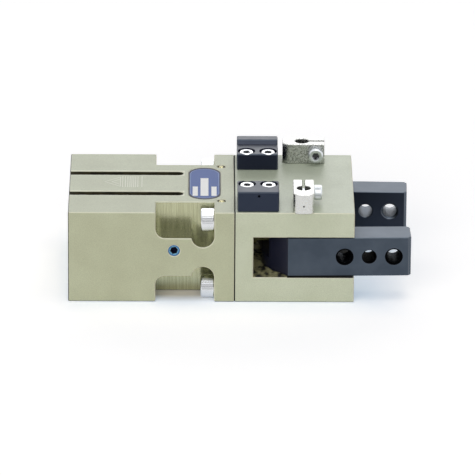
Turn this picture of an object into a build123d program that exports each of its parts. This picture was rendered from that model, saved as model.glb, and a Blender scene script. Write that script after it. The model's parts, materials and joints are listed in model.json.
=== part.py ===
from build123d import *
import math
import os

# Two-jaw pneumatic angular gripper. Millimetres, X towards the fingers, Y across, Z up.
# The origin is the centre of the rear mounting face. The jaws stand closed, as in the photo.

# Body
BODY_WIDTH = 60.0
BODY_HEIGHT = 35.0
REAR_LENGTH = 60.8
FRONT_LENGTH = 43.7
EDGE_CHAMFER = 0.3
OVER = 1.0
TOUCH = 0.001
HALF_WIDTH = BODY_WIDTH / 2
HALF_HEIGHT = BODY_HEIGHT / 2
BODY_LENGTH = REAR_LENGTH + FRONT_LENGTH

# Corner notches of the rear housing, behind the flange that the housing screws pull on
FLANGE_THICKNESS = 7.4
NOTCH_LENGTH = 21.5
NOTCH_WIDTH = 11.05
NOTCH_DEPTH = 10.15
NOTCH_CORNER_RADIUS = 3.5
LOBE_RADIUS = 4.2
LOBE_DROP = 9.5
FLANGE_X = REAR_LENGTH - FLANGE_THICKNESS
NOTCH_START_X = FLANGE_X - NOTCH_LENGTH
NOTCH_INNER_Y = HALF_WIDTH - NOTCH_WIDTH
NOTCH_SHELF_Z = HALF_HEIGHT - NOTCH_DEPTH
LOBE_Z = HALF_HEIGHT - LOBE_DROP

# M5 screws that join the housings
M5_RADIUS = 2.5
M5_HEAD_RADIUS = 4.25
M5_HEAD_HEIGHT = 5.0
M5_HEX = 4.0
M5_HEX_DEPTH = 2.6
M5_CLEARANCE = 0.25
M5_CLEARANCE_RADIUS = M5_RADIUS + M5_CLEARANCE
HEAD_CHAMFER = 0.4
SCREW_FROM_SIDE = 4.6
SCREW_FROM_TOP = 4.55
SCREW_Y = HALF_WIDTH - SCREW_FROM_SIDE
SCREW_Z = HALF_HEIGHT - SCREW_FROM_TOP
SCREW_LENGTH = 18.0

# M3 screws on the blocks and clamps
M3_RADIUS = 1.5
M3_HEAD_RADIUS = 2.75
M3_HEAD_HEIGHT = 3.0
M3_HEX = 2.5
M3_HEX_DEPTH = 1.6
M3_CLEARANCE = 0.15
M3_CLEARANCE_RADIUS = M3_RADIUS + M3_CLEARANCE

# Jaws. The local frame has its origin on the pivot, x along the finger and y inwards.
WEB_THICKNESS = 6.85
FORK_PLATE = 9.7
SLOT_START_X = REAR_LENGTH + WEB_THICKNESS
SLOT_HALF_HEIGHT = HALF_HEIGHT - FORK_PLATE
PIVOT_FROM_WEB = 11.35
PIVOT_FROM_SIDE = 9.5
PIVOT_X = SLOT_START_X + PIVOT_FROM_WEB
PIVOT_Y = HALF_WIDTH - PIVOT_FROM_SIDE
PIVOT_RADIUS = 3.0
CLOSED_ANGLE = 1.5
SWING = 16.5
LEVER_TILT = SWING / 2 - CLOSED_ANGLE
LEVER_ARM = PIVOT_Y
STROKE = 2 * LEVER_ARM * math.tan(math.radians(SWING / 2))
JAW_SIDE_GAP = 0.25
JAW_HALF_HEIGHT = SLOT_HALF_HEIGHT - JAW_SIDE_GAP
JAW_OUTER_Y = -9.0
JAW_INNER_Y = 2.2
JAW_TIP_X = 46.1
JAW_TIP_CHAMFER = 1.0
JAW_HUB_RADIUS = 5.6
JAW_BORE_GAP = 0.03
JAW_BORE_RADIUS = PIVOT_RADIUS + JAW_BORE_GAP
JAW_REAR_X = 1.1
JAW_REAR_FACE_END = (-5.14, -1.47)
LEVER_BACK_MIDDLE = (-7.45, 3.0)
LEVER_BACK_END = (-7.9, 7.2)
LEVER_ROOT_X = 9.5

# Rod and drive pin
ROD_RADIUS = 6.0
TONGUE_BEHIND_PIN = 7.0
TONGUE_HALF_THICKNESS = 3.0
TONGUE_GAP = 0.2
DRIVE_PIN_RADIUS = 3.0
DRIVE_PIN_INSET = 0.15
ROD_HOLE_GAP = 0.5
LEVER_TOP_Z = -TONGUE_HALF_THICKNESS - TONGUE_GAP
DRIVE_PIN_HALF_LENGTH = JAW_HALF_HEIGHT - DRIVE_PIN_INSET
ROD_HOLE_RADIUS = ROD_RADIUS + ROD_HOLE_GAP
FORK_GAP = 0.05
FORK_HALF_SLOT = DRIVE_PIN_RADIUS + FORK_GAP
FORK_PRONG = 2.6
FORK_EDGE = FORK_HALF_SLOT + FORK_PRONG
FORK_SLOT_REACH = 0.3
FORK_TIP = 4.0
FORK_SLOT_START = LEVER_ARM - FORK_SLOT_REACH
FORK_END = LEVER_ARM + FORK_TIP
FORK_ROOT = LEVER_ARM - TONGUE_BEHIND_PIN

# Finger mounting holes and sensing pockets of a jaw
FINGER_HOLE_X = 21.8
FINGER_HOLE_PITCH = 9.0
FINGER_THREAD_RADIUS = 2.6
FINGER_THREAD_SINK_RADIUS = 3.3
FINGER_DOWEL_RADIUS = 2.5
FINGER_DOWEL_SINK_RADIUS = 2.75
SENSE_RADIUS = 3.5
SENSE_DEPTH = 1.5
SENSE_X = 14.5

# Pivot pins, the screws below them and the shims beside the hubs
PIVOT_TOP_DEPTH = 4.0
PIVOT_TOP_Z = HALF_HEIGHT - PIVOT_TOP_DEPTH
PIVOT_SCREW_RADIUS = 4.0
PIVOT_SCREW_LENGTH = 3.6
PIVOT_SCREW_SINK = 0.3
PIVOT_SCREW_HEX = 4.0
PIVOT_SCREW_HEX_DEPTH = 2.2
SHIM_RADIUS = 5.2
SHIM_BORE_GAP = 0.05
SHIM_BORE_RADIUS = PIVOT_RADIUS + SHIM_BORE_GAP
SHIM_THICKNESS = 0.2
SHIM_GAP = 0.03
SHIM_START_Z = JAW_HALF_HEIGHT + SHIM_GAP

# Cylinder bore and what closes it
RUNNING = 0.02
BORE_RADIUS = 13.0
COVER_LENGTH = 17.8
COVER_ROD_GAP = 0.4
BUSH_WALL = 2.0
BUSH_INSET = 1.0
BUSH_LENGTH = 10.0
ROD_SEAL_INSET = 12.4
ROD_SEAL_LENGTH = 3.2
ROD_SEAL_WALL = 3.0
O_RING_INSET = 4.2
O_RING_RADIUS = 0.9
O_RING_SIDES = 8
O_RING_GROOVE_WIDTH = 2.3
O_RING_GROOVE_DEPTH = 1.9
COVER_START_X = REAR_LENGTH - COVER_LENGTH
COVER_ROD_RADIUS = ROD_RADIUS + COVER_ROD_GAP
BUSH_OUTER_RADIUS = ROD_RADIUS + BUSH_WALL
BUSH_START_X = COVER_START_X + BUSH_INSET
ROD_SEAL_RADIUS = ROD_RADIUS + ROD_SEAL_WALL
ROD_SEAL_START_X = COVER_START_X + ROD_SEAL_INSET
O_RING_X = COVER_START_X + O_RING_INSET
O_RING_GROOVE_RADIUS = BORE_RADIUS - O_RING_GROOVE_DEPTH

# Piston
PISTON_FRONT_ROOM = 4.5
PISTON_REAR_ROOM = 1.2
PISTON_BOSS_RADIUS = 10.0
PISTON_REAR_BOSS = 2.8
PISTON_FRONT_BOSS = 2.0
PISTON_LAND = 1.2
PISTON_GAP = 0.1
PISTON_SEAL_LENGTH = 3.0
PISTON_SEAL_SECTION = 3.2
GUIDE_LENGTH = 1.8
GUIDE_SECTION = 1.1
MAGNET_LENGTH = 2.8
MAGNET_SECTION = 2.6
MAGNET_GAP = 0.4
PISTON_SCREW_SINK = 0.8
PISTON_SCREW_LENGTH = 12.0
PISTON_COUNTERBORE_GAP = 0.5
SPIGOT_RADIUS = 4.0
SPIGOT_SEAT = 2.0
LIP_GROOVE_DEPTH = 1.4
LIP_GROOVE_WIDTH = 0.8
PISTON_END_X = COVER_START_X - STROKE - PISTON_FRONT_ROOM
PISTON_BODY_END_X = PISTON_END_X - PISTON_FRONT_BOSS
MAGNET_START_X = PISTON_BODY_END_X - PISTON_LAND - MAGNET_LENGTH
GUIDE_START_X = MAGNET_START_X - PISTON_LAND - GUIDE_LENGTH
PISTON_SEAL_START_X = GUIDE_START_X - PISTON_LAND - PISTON_SEAL_LENGTH
PISTON_BODY_START_X = PISTON_SEAL_START_X - PISTON_LAND
PISTON_START_X = PISTON_BODY_START_X - PISTON_REAR_BOSS
BORE_START_X = PISTON_START_X - PISTON_REAR_ROOM
PISTON_RADIUS = BORE_RADIUS - PISTON_GAP
PISTON_SEAL_ROOT = BORE_RADIUS - PISTON_SEAL_SECTION
GUIDE_ROOT = BORE_RADIUS - GUIDE_SECTION
MAGNET_ROOT = BORE_RADIUS - MAGNET_SECTION
MAGNET_RADIUS = BORE_RADIUS - MAGNET_GAP
PISTON_SCREW_SEAT_X = PISTON_START_X + M5_HEAD_HEIGHT + PISTON_SCREW_SINK
PISTON_COUNTERBORE_RADIUS = M5_HEAD_RADIUS + PISTON_COUNTERBORE_GAP
SPIGOT_START_X = PISTON_SCREW_SEAT_X + SPIGOT_SEAT

# Air ports
PORT_RADIUS = 2.15
PORT_DEPTH = 8.0
PORT_DRILL_RADIUS = 1.25
PORT_BELOW_SHELF = 4.85
FRONT_PORT_BEFORE_COVER = 4.3
REAR_PORT_AFTER_BORE = 1.8
PORT_Z = NOTCH_SHELF_Z - PORT_BELOW_SHELF
FRONT_PORT_X = COVER_START_X - FRONT_PORT_BEFORE_COVER
REAR_PORT_X = BORE_START_X + REAR_PORT_AFTER_BORE
PLUG_LENGTH = 5.0
PLUG_SINK = 0.4
PLUG_HEX = 2.5
PLUG_HEX_DEPTH = 2.0

# Rear face threads and dowel bores
REAR_THREAD_RADIUS = 2.1
REAR_THREAD_DEPTH = 10.0
REAR_PITCH_Y = 40.0
REAR_PITCH_Z = 20.0
REAR_DOWEL_RADIUS = 2.5
REAR_DOWEL_DEPTH = 6.0
REAR_DOWEL_FROM_SIDE = 5.0
REAR_DOWEL_Y = HALF_WIDTH - REAR_DOWEL_FROM_SIDE

# Top face of the rear housing
GROOVE_Y = 10.3
GROOVE_RADIUS = 2.3
GROOVE_AXIS_DEPTH = 2.9
GROOVE_MOUTH = 3.8
GROOVE_FROM_JOINT = 18.8
LABEL_FROM_JOINT = 11.0
LABEL_MARGIN = 2.65
LABEL_WIDTH = 11.8
LABEL_DEPTH = 0.5
LABEL_THICKNESS = 0.4
LABEL_GAP = 0.1
TOP_HOLE_RADIUS = 1.55
TOP_HOLE_DEPTH = 3.0
TOP_HOLE_FROM_JOINT = 4.8
TOP_HOLE_FROM_SIDE = 12.5
GROOVE_END_X = REAR_LENGTH - GROOVE_FROM_JOINT
LABEL_X = REAR_LENGTH - LABEL_FROM_JOINT
LABEL_LENGTH = 2 * (NOTCH_INNER_Y - LABEL_MARGIN)
TOP_HOLE_X = REAR_LENGTH - TOP_HOLE_FROM_JOINT
TOP_HOLE_Y = HALF_WIDTH - TOP_HOLE_FROM_SIDE

# Dowels between the housings, in the wall between the bore and the side
DOWEL_RADIUS = 2.0
DOWEL_LENGTH = 8.0
DOWEL_FROM_BORE = 4.5
DOWEL_Y = BORE_RADIUS + DOWEL_FROM_BORE

# Black blocks on the front housing
BLOCK_FROM_JOINT = 0.95
BLOCK_LENGTH = 15.2
BLOCK_FROM_SIDE = 0.7
BLOCK_WIDTH = 15.7
BLOCK_HEIGHT = 6.35
BLOCK_RIM_HEIGHT = 7.8
BLOCK_RIM_WIDTH = 4.0
BLOCK_EDGE = 0.4
BLOCK_SCREW_FROM_END = 3.55
BLOCK_SCREW_PITCH = 8.0
BLOCK_SCREW_FROM_INNER = 3.3
BLOCK_SCREW_LENGTH = 10.0
BLOCK_SCREW_SINK = 0.25
COUNTERBORE_GAP = 0.5
BLOCK_HOLE_RADIUS = 0.5
BLOCK_HOLE_FROM_END = 7.85
BLOCK_HOLE_DROP = 1.6
BLOCK_HOLE_DEPTH = 3.0
BLOCK_START_X = REAR_LENGTH + BLOCK_FROM_JOINT
BLOCK_END_X = BLOCK_START_X + BLOCK_LENGTH
BLOCK_OUTER_Y = HALF_WIDTH - BLOCK_FROM_SIDE
BLOCK_INNER_Y = BLOCK_OUTER_Y - BLOCK_WIDTH
BLOCK_RIM_Y = BLOCK_OUTER_Y - BLOCK_RIM_WIDTH
BLOCK_SCREW_X = BLOCK_START_X + BLOCK_SCREW_FROM_END
BLOCK_SCREW_Y = BLOCK_INNER_Y + BLOCK_SCREW_FROM_INNER
BLOCK_HOLE_X = BLOCK_START_X + BLOCK_HOLE_FROM_END
COUNTERBORE_RADIUS = M3_HEAD_RADIUS + COUNTERBORE_GAP

# Sensor clamps
CLAMP_FROM_PIVOT = 6.9
CLAMP_FROM_SIDE = 5.7
CLAMP_WIDTH = 7.6
CLAMP_HEIGHT = 7.7
CLAMP_CLOSED_END = 7.2
CLAMP_OPEN_END = 8.4
CLAMP_CORNER_RADIUS = 2.4
CLAMP_BORE_RADIUS = 2.55
CLAMP_SLIT = 0.9
CLAMP_CHAMFER = 0.25
CLAMP_SPIGOT_RADIUS = 3.1
CLAMP_SPIGOT_DEPTH = 5.0
CLAMP_SCREW_OFFSET = 5.1
CLAMP_SCREW_HEIGHT = 4.0
CLAMP_SCREW_LENGTH = 6.0
SENSOR_HOLE_GAP = 0.4
CLAMP_X = PIVOT_X + CLAMP_FROM_PIVOT
CLAMP_Y = HALF_WIDTH - CLAMP_FROM_SIDE
SENSOR_HOLE_RADIUS = CLAMP_BORE_RADIUS + SENSOR_HOLE_GAP


def block(x0, x1, y0, y1, z0, z1):
    return Pos((x0 + x1) / 2, (y0 + y1) / 2, (z0 + z1) / 2) * Box(
        abs(x1 - x0), abs(y1 - y0), abs(z1 - z0)
    )


def along_x(radius, x0, x1, y=0.0, z=0.0):
    return Pos((x0 + x1) / 2, y, z) * Rot(0, 90, 0) * Cylinder(radius, abs(x1 - x0))


def along_y(radius, y0, y1, x, z):
    return Pos(x, (y0 + y1) / 2, z) * Rot(90, 0, 0) * Cylinder(radius, abs(y1 - y0))


def along_z(radius, z0, z1, x, y):
    return Pos(x, y, (z0 + z1) / 2) * Cylinder(radius, abs(z1 - z0))


def ring_x(inner, outer, x0, x1):
    return along_x(outer, x0, x1) - along_x(inner, x0 - OVER, x1 + OVER)


def rim_edges(body, axis, value):
    """The edges round every flat face that lies square to an axis at a given place."""
    found = []
    for face in body.faces().filter_by(GeomType.PLANE):
        square = abs(abs(getattr(face.normal_at(), axis)) - 1) < TOUCH
        if square and abs(getattr(face.center(), axis) - value) < TOUCH:
            found += face.edges()
    return found


def without_repeats(edges):
    kept = []
    for edge in edges:
        if not any(edge.is_same(other) for other in kept):
            kept.append(edge)
    return kept


def break_edges(body, places, width):
    """Chamfers the rims of the flat faces at the given (axis, value) places."""
    edges = []
    for axis, value in places:
        edges += rim_edges(body, axis, value)
    return chamfer(without_repeats(edges), width)


def housing_places(x0, x1):
    """The six outer faces of a housing."""
    return [("X", x0), ("X", x1)] + [
        (axis, sign * half)
        for axis, half in (("Y", HALF_WIDTH), ("Z", HALF_HEIGHT))
        for sign in (-1, 1)
    ]


def hexagon_prism(across_flats, height):
    """A hexagonal prism standing on the XY plane, for sockets."""
    return extrude(RegularPolygon(across_flats / math.sqrt(3), 6), height)


def cap_screw(radius, length, head_radius, head_height, hexagon, hexagon_depth):
    """A socket cap screw with its seat at the origin, head towards +Z, shank towards -Z."""
    head = along_z(head_radius, 0, head_height, 0, 0)
    head = chamfer(head.edges().group_by(Axis.Z)[-1], HEAD_CHAMFER)
    shank = along_z(radius, -length, 0, 0, 0)
    shank = chamfer(shank.edges().group_by(Axis.Z)[0], HEAD_CHAMFER)
    socket = Pos(0, 0, head_height - hexagon_depth) * hexagon_prism(
        hexagon, hexagon_depth + OVER
    )
    return head + shank - socket


def corners():
    """The four corners of the body's cross-section, as signs of Y and Z."""
    return [(y, z) for y in (-1, 1) for z in (-1, 1)]


def at_side(shape, sign_y, sign_z=1):
    """Mirrors a shape drawn on the +Y, +Z side to another side."""
    if sign_y < 0:
        shape = mirror(shape, about=Plane.XZ)
    if sign_z < 0:
        shape = mirror(shape, about=Plane.XY)
    return shape


def notch_tool():
    """The cutter of one corner notch: a shelf with a rounded corner and a round lobe at the flange."""
    width = FLANGE_X - NOTCH_START_X
    height = HALF_HEIGHT + OVER - NOTCH_SHELF_Z
    shelf = Pos(NOTCH_START_X + width / 2, NOTCH_SHELF_Z + height / 2) * Rectangle(
        width, height
    )
    corner = shelf.vertices().sort_by(lambda v: v.X + v.Y)[0]
    shelf = fillet(corner, NOTCH_CORNER_RADIUS)
    lobe = Pos(FLANGE_X - LOBE_RADIUS, LOBE_Z) * Circle(LOBE_RADIUS)
    neck_top = NOTCH_SHELF_Z + LOBE_RADIUS
    neck = Pos(FLANGE_X - LOBE_RADIUS, (LOBE_Z + neck_top) / 2) * Rectangle(
        2 * LOBE_RADIUS, neck_top - LOBE_Z
    )
    profile = shelf + lobe + neck
    cutter = extrude(Plane.XZ * profile, -(HALF_WIDTH - NOTCH_INNER_Y + OVER))
    return Pos(0, NOTCH_INNER_Y, 0) * cutter


def air_port(x, sign_y):
    """An M5 port with its drilling to the cylinder bore. The far side's ports lie turned about x."""
    mouth = along_y(PORT_RADIUS, HALF_WIDTH - PORT_DEPTH, HALF_WIDTH + OVER, x, PORT_Z)
    drill = along_y(
        PORT_DRILL_RADIUS, BORE_RADIUS - OVER, HALF_WIDTH - PORT_DEPTH, x, PORT_Z
    )
    return at_side(mouth + drill, sign_y, -sign_y)


def sensor_groove(y):
    """A C-shaped groove for round sensors, open at the rear face."""
    axis_z = HALF_HEIGHT - GROOVE_AXIS_DEPTH
    mouth_radius = GROOVE_MOUTH / 2
    end = GROOVE_END_X - mouth_radius
    tube = along_x(GROOVE_RADIUS, -OVER, end, y, axis_z)
    mouth = block(
        -OVER, end, y - mouth_radius, y + mouth_radius, axis_z, HALF_HEIGHT + OVER
    )
    return tube + mouth + along_z(mouth_radius, axis_z, HALF_HEIGHT + OVER, end, y)


def label_shape(gap, z0, z1):
    outline = SlotOverall(LABEL_LENGTH - 2 * gap, LABEL_WIDTH - 2 * gap, rotation=90)
    return Pos(LABEL_X, 0, z0) * extrude(outline, z1 - z0)


def rear_housing():
    body = block(0, REAR_LENGTH, -HALF_WIDTH, HALF_WIDTH, -HALF_HEIGHT, HALF_HEIGHT)
    tool = notch_tool()
    for sign_y, sign_z in corners():
        body -= at_side(tool, sign_y, sign_z)
        body -= along_x(
            M5_CLEARANCE_RADIUS,
            FLANGE_X - OVER,
            REAR_LENGTH + OVER,
            sign_y * SCREW_Y,
            sign_z * SCREW_Z,
        )
        body -= along_x(
            REAR_THREAD_RADIUS,
            -OVER,
            REAR_THREAD_DEPTH,
            sign_y * REAR_PITCH_Y / 2,
            sign_z * REAR_PITCH_Z / 2,
        )
    body -= along_x(BORE_RADIUS, BORE_START_X, REAR_LENGTH + OVER)
    body -= air_port(FRONT_PORT_X, 1)
    body -= air_port(REAR_PORT_X, 1)
    body -= air_port(FRONT_PORT_X, -1)
    for side in (-1, 1):
        body -= sensor_groove(side * GROOVE_Y)
        body -= along_z(
            TOP_HOLE_RADIUS,
            HALF_HEIGHT - TOP_HOLE_DEPTH,
            HALF_HEIGHT + OVER,
            TOP_HOLE_X,
            side * TOP_HOLE_Y,
        )
        body -= along_x(
            REAR_DOWEL_RADIUS, -OVER, REAR_DOWEL_DEPTH, side * REAR_DOWEL_Y
        )
        body -= along_x(
            DOWEL_RADIUS,
            REAR_LENGTH - DOWEL_LENGTH / 2,
            REAR_LENGTH + OVER,
            side * DOWEL_Y,
        )
    body -= label_shape(0, HALF_HEIGHT - LABEL_DEPTH, HALF_HEIGHT + OVER)
    return break_edges(body, housing_places(0, REAR_LENGTH), EDGE_CHAMFER)


def front_housing():
    body = block(
        REAR_LENGTH, BODY_LENGTH, -HALF_WIDTH, HALF_WIDTH, -HALF_HEIGHT, HALF_HEIGHT
    )
    body -= block(
        SLOT_START_X,
        BODY_LENGTH + OVER,
        -HALF_WIDTH - OVER,
        HALF_WIDTH + OVER,
        -SLOT_HALF_HEIGHT,
        SLOT_HALF_HEIGHT,
    )
    rod_reach = drive_pin_x() + ROD_RADIUS + STROKE + OVER
    body -= along_x(ROD_HOLE_RADIUS, REAR_LENGTH - OVER, rod_reach)
    screw_end = FLANGE_X + SCREW_LENGTH
    for sign_y, sign_z in corners():
        body -= along_x(
            M5_RADIUS,
            REAR_LENGTH - OVER,
            screw_end + OVER / 2,
            sign_y * SCREW_Y,
            sign_z * SCREW_Z,
        )
    for side in (-1, 1):
        y = side * PIVOT_Y
        body -= along_x(
            DOWEL_RADIUS,
            REAR_LENGTH - OVER,
            REAR_LENGTH + DOWEL_LENGTH / 2,
            side * DOWEL_Y,
        )
        body -= along_z(PIVOT_RADIUS, -HALF_HEIGHT, PIVOT_TOP_Z, PIVOT_X, y)
        screw_top = -HALF_HEIGHT + PIVOT_SCREW_SINK + PIVOT_SCREW_LENGTH
        body -= along_z(
            PIVOT_SCREW_RADIUS, -HALF_HEIGHT - OVER, screw_top, PIVOT_X, y
        )
        clamp_y = side * CLAMP_Y
        body -= along_z(
            CLAMP_SPIGOT_RADIUS,
            HALF_HEIGHT - CLAMP_SPIGOT_DEPTH,
            HALF_HEIGHT + OVER,
            CLAMP_X,
            clamp_y,
        )
        body -= along_z(
            SENSOR_HOLE_RADIUS,
            SLOT_HALF_HEIGHT - OVER,
            HALF_HEIGHT,
            CLAMP_X,
            clamp_y,
        )
        for x in block_screw_xs():
            body -= along_z(
                M3_RADIUS,
                block_screw_seat_z() - BLOCK_SCREW_LENGTH - OVER / 2,
                HALF_HEIGHT + OVER,
                x,
                side * BLOCK_SCREW_Y,
            )
    return break_edges(body, housing_places(REAR_LENGTH, BODY_LENGTH), EDGE_CHAMFER)


def cylinder_cover():
    body = along_x(BORE_RADIUS, COVER_START_X, REAR_LENGTH)
    body -= along_x(COVER_ROD_RADIUS, COVER_START_X - OVER, REAR_LENGTH + OVER)
    body -= along_x(
        BUSH_OUTER_RADIUS, COVER_START_X - OVER, BUSH_START_X + BUSH_LENGTH
    )
    body -= along_x(
        ROD_SEAL_RADIUS, ROD_SEAL_START_X, ROD_SEAL_START_X + ROD_SEAL_LENGTH
    )
    half = O_RING_GROOVE_WIDTH / 2
    body -= ring_x(
        O_RING_GROOVE_RADIUS, BORE_RADIUS + OVER, O_RING_X - half, O_RING_X + half
    )
    return body


def o_ring():
    """The cover's O-ring, its section a polygon within the round one."""
    section = RegularPolygon(O_RING_RADIUS, O_RING_SIDES)
    centre = Pos(O_RING_X, BORE_RADIUS - O_RING_RADIUS)
    return revolve(Plane.XY * centre * section, Axis.X)


def lip_seal(inner, outer, x0, length, open_rear):
    """A U-section seal ring whose groove faces the pressure."""
    ring = ring_x(inner, outer, x0, x0 + length)
    middle = (inner + outer) / 2
    half = LIP_GROOVE_WIDTH / 2
    if open_rear:
        start, end = x0 - OVER, x0 + LIP_GROOVE_DEPTH
    else:
        start, end = x0 + length - LIP_GROOVE_DEPTH, x0 + length + OVER
    return ring - ring_x(middle - half, middle + half, start, end)


def piston():
    body = along_x(PISTON_RADIUS, PISTON_BODY_START_X, PISTON_BODY_END_X)
    body += along_x(PISTON_BOSS_RADIUS, PISTON_START_X, PISTON_END_X)
    grooves = (
        (PISTON_SEAL_ROOT, PISTON_SEAL_START_X, PISTON_SEAL_LENGTH),
        (GUIDE_ROOT, GUIDE_START_X, GUIDE_LENGTH),
        (MAGNET_ROOT, MAGNET_START_X, MAGNET_LENGTH),
    )
    for root, start, length in grooves:
        body -= ring_x(root, BORE_RADIUS + OVER, start, start + length)
    body -= along_x(
        PISTON_COUNTERBORE_RADIUS, PISTON_START_X - OVER, PISTON_SCREW_SEAT_X
    )
    body -= along_x(M5_CLEARANCE_RADIUS, PISTON_SCREW_SEAT_X - OVER, PISTON_END_X)
    body -= along_x(SPIGOT_RADIUS, SPIGOT_START_X, PISTON_END_X + OVER)
    return body


def drive_pin_x():
    """At rest the drive pin stands half a stroke behind the line through the pivots."""
    return PIVOT_X - STROKE / 2


def piston_rod():
    pin_x = drive_pin_x()
    end_x = pin_x + ROD_RADIUS
    rod = along_x(ROD_RADIUS, PISTON_END_X, end_x)
    rod += along_x(SPIGOT_RADIUS, SPIGOT_START_X, PISTON_END_X)
    for sign in (-1, 1):
        rod -= block(
            pin_x - TONGUE_BEHIND_PIN,
            end_x + OVER,
            -ROD_RADIUS - OVER,
            ROD_RADIUS + OVER,
            sign * TONGUE_HALF_THICKNESS,
            sign * (ROD_RADIUS + OVER),
        )
    tip = block(pin_x, end_x + OVER, -ROD_RADIUS, ROD_RADIUS, -ROD_RADIUS, ROD_RADIUS)
    rod -= tip - along_z(ROD_RADIUS, -ROD_RADIUS - OVER, ROD_RADIUS + OVER, pin_x, 0)
    rod -= along_z(DRIVE_PIN_RADIUS, -ROD_RADIUS, ROD_RADIUS, pin_x, 0)
    rod -= along_x(
        M5_RADIUS, SPIGOT_START_X - OVER, PISTON_SCREW_SEAT_X + PISTON_SCREW_LENGTH + OVER
    )
    return rod


def lever_point(distance, offset):
    """A point in the jaw's frame, at a distance along the lever and offset towards the finger."""
    tilt = math.radians(LEVER_TILT)
    along = (-math.sin(tilt), math.cos(tilt))
    across = (math.cos(tilt), math.sin(tilt))
    return (
        distance * along[0] + offset * across[0],
        distance * along[1] + offset * across[1],
    )


def jaw_local():
    """One jaw about its pivot, finger along +x, lever on the low level towards +y."""
    outer_corner = (JAW_REAR_X, JAW_OUTER_Y)
    root_back = lever_point(FORK_ROOT, -FORK_EDGE)
    fork_back = lever_point(FORK_END, -FORK_EDGE)
    fork_front = lever_point(FORK_END, FORK_EDGE)
    root_front = lever_point(LEVER_ARM / 2, FORK_EDGE)
    inner_root = (LEVER_ROOT_X, JAW_INNER_Y)
    lever_outline = [
        Line(outer_corner, JAW_REAR_FACE_END),
        ThreePointArc(JAW_REAR_FACE_END, LEVER_BACK_MIDDLE, LEVER_BACK_END),
        Line(LEVER_BACK_END, root_back),
        Line(root_back, fork_back),
        Line(fork_back, fork_front),
        Line(fork_front, root_front),
        Line(root_front, inner_root),
        Line(inner_root, (LEVER_ROOT_X, JAW_OUTER_Y)),
        Line((LEVER_ROOT_X, JAW_OUTER_Y), outer_corner),
    ]
    lever_face = make_face(Curve() + lever_outline)
    finger = Polygon(
        outer_corner,
        (JAW_TIP_X - JAW_TIP_CHAMFER, JAW_OUTER_Y),
        (JAW_TIP_X, JAW_OUTER_Y + JAW_TIP_CHAMFER),
        (JAW_TIP_X, JAW_INNER_Y - JAW_TIP_CHAMFER),
        (JAW_TIP_X - JAW_TIP_CHAMFER, JAW_INNER_Y),
        (0, JAW_INNER_Y),
        JAW_REAR_FACE_END,
        align=None,
    )
    hub = Circle(JAW_HUB_RADIUS) & lever_face
    full = extrude(finger + hub, JAW_HALF_HEIGHT, both=True)
    lever = Pos(0, 0, -JAW_HALF_HEIGHT) * extrude(
        lever_face, LEVER_TOP_Z + JAW_HALF_HEIGHT
    )
    jaw = full + lever
    slot_x, slot_y = lever_point(FORK_SLOT_START, 0)
    slot = Rot(0, 0, LEVER_TILT) * (
        Pos(0, FORK_SLOT_START + FORK_END / 2)
        * Rectangle(2 * FORK_HALF_SLOT, FORK_END)
    )
    slot_face = slot + Pos(slot_x, slot_y) * Circle(FORK_HALF_SLOT)
    jaw -= Pos(0, 0, -JAW_HALF_HEIGHT - OVER) * extrude(
        slot_face, LEVER_TOP_Z + JAW_HALF_HEIGHT + 2 * OVER
    )
    jaw -= along_z(JAW_BORE_RADIUS, -JAW_HALF_HEIGHT - OVER, JAW_HALF_HEIGHT + OVER, 0, 0)
    for index in range(3):
        threaded = index != 1
        radius = FINGER_THREAD_RADIUS if threaded else FINGER_DOWEL_RADIUS
        sink = FINGER_THREAD_SINK_RADIUS if threaded else FINGER_DOWEL_SINK_RADIUS
        x = FINGER_HOLE_X + index * FINGER_HOLE_PITCH
        jaw -= along_y(radius, JAW_OUTER_Y - OVER, JAW_INNER_Y + OVER, x, 0)
        depth = sink - radius
        cone = Cone(radius, sink, depth)
        jaw -= Pos(x, JAW_INNER_Y - depth / 2, 0) * Rot(-90, 0, 0) * cone
        jaw -= Pos(x, JAW_OUTER_Y + depth / 2, 0) * Rot(90, 0, 0) * cone
    sense_y = PIVOT_Y - CLAMP_Y
    for sign in (-1, 1):
        jaw -= along_z(
            SENSE_RADIUS,
            sign * (JAW_HALF_HEIGHT - SENSE_DEPTH),
            sign * (JAW_HALF_HEIGHT + OVER),
            SENSE_X,
            sense_y,
        )
    places = [("Z", -JAW_HALF_HEIGHT), ("Z", JAW_HALF_HEIGHT)]
    return break_edges(jaw, places, EDGE_CHAMFER)


def jaws():
    """The near jaw, and the same part turned over about X as the far jaw."""
    near = Pos(PIVOT_X, -PIVOT_Y, 0) * Rot(0, 0, CLOSED_ANGLE) * jaw_local()
    return near, Rot(180, 0, 0) * near


def pivot_pin(side):
    bottom = -HALF_HEIGHT + PIVOT_SCREW_SINK + PIVOT_SCREW_LENGTH
    return along_z(PIVOT_RADIUS, bottom, PIVOT_TOP_Z, PIVOT_X, side * PIVOT_Y)


def pivot_screw(side):
    """A set screw with its hexagon at the bottom face."""
    bottom = -HALF_HEIGHT + PIVOT_SCREW_SINK
    screw = along_z(
        PIVOT_SCREW_RADIUS, bottom, bottom + PIVOT_SCREW_LENGTH, PIVOT_X, side * PIVOT_Y
    )
    socket = hexagon_prism(PIVOT_SCREW_HEX, PIVOT_SCREW_HEX_DEPTH + OVER)
    return screw - Pos(PIVOT_X, side * PIVOT_Y, bottom - OVER) * socket


def shim(side, level):
    ring = along_z(SHIM_RADIUS, 0, SHIM_THICKNESS, 0, 0) - along_z(
        SHIM_BORE_RADIUS, -OVER, SHIM_THICKNESS + OVER, 0, 0
    )
    z = SHIM_START_Z if level > 0 else -SHIM_START_Z - SHIM_THICKNESS
    return Pos(PIVOT_X, side * PIVOT_Y, z) * ring


def block_screw_xs():
    return (BLOCK_SCREW_X, BLOCK_SCREW_X + BLOCK_SCREW_PITCH)


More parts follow.
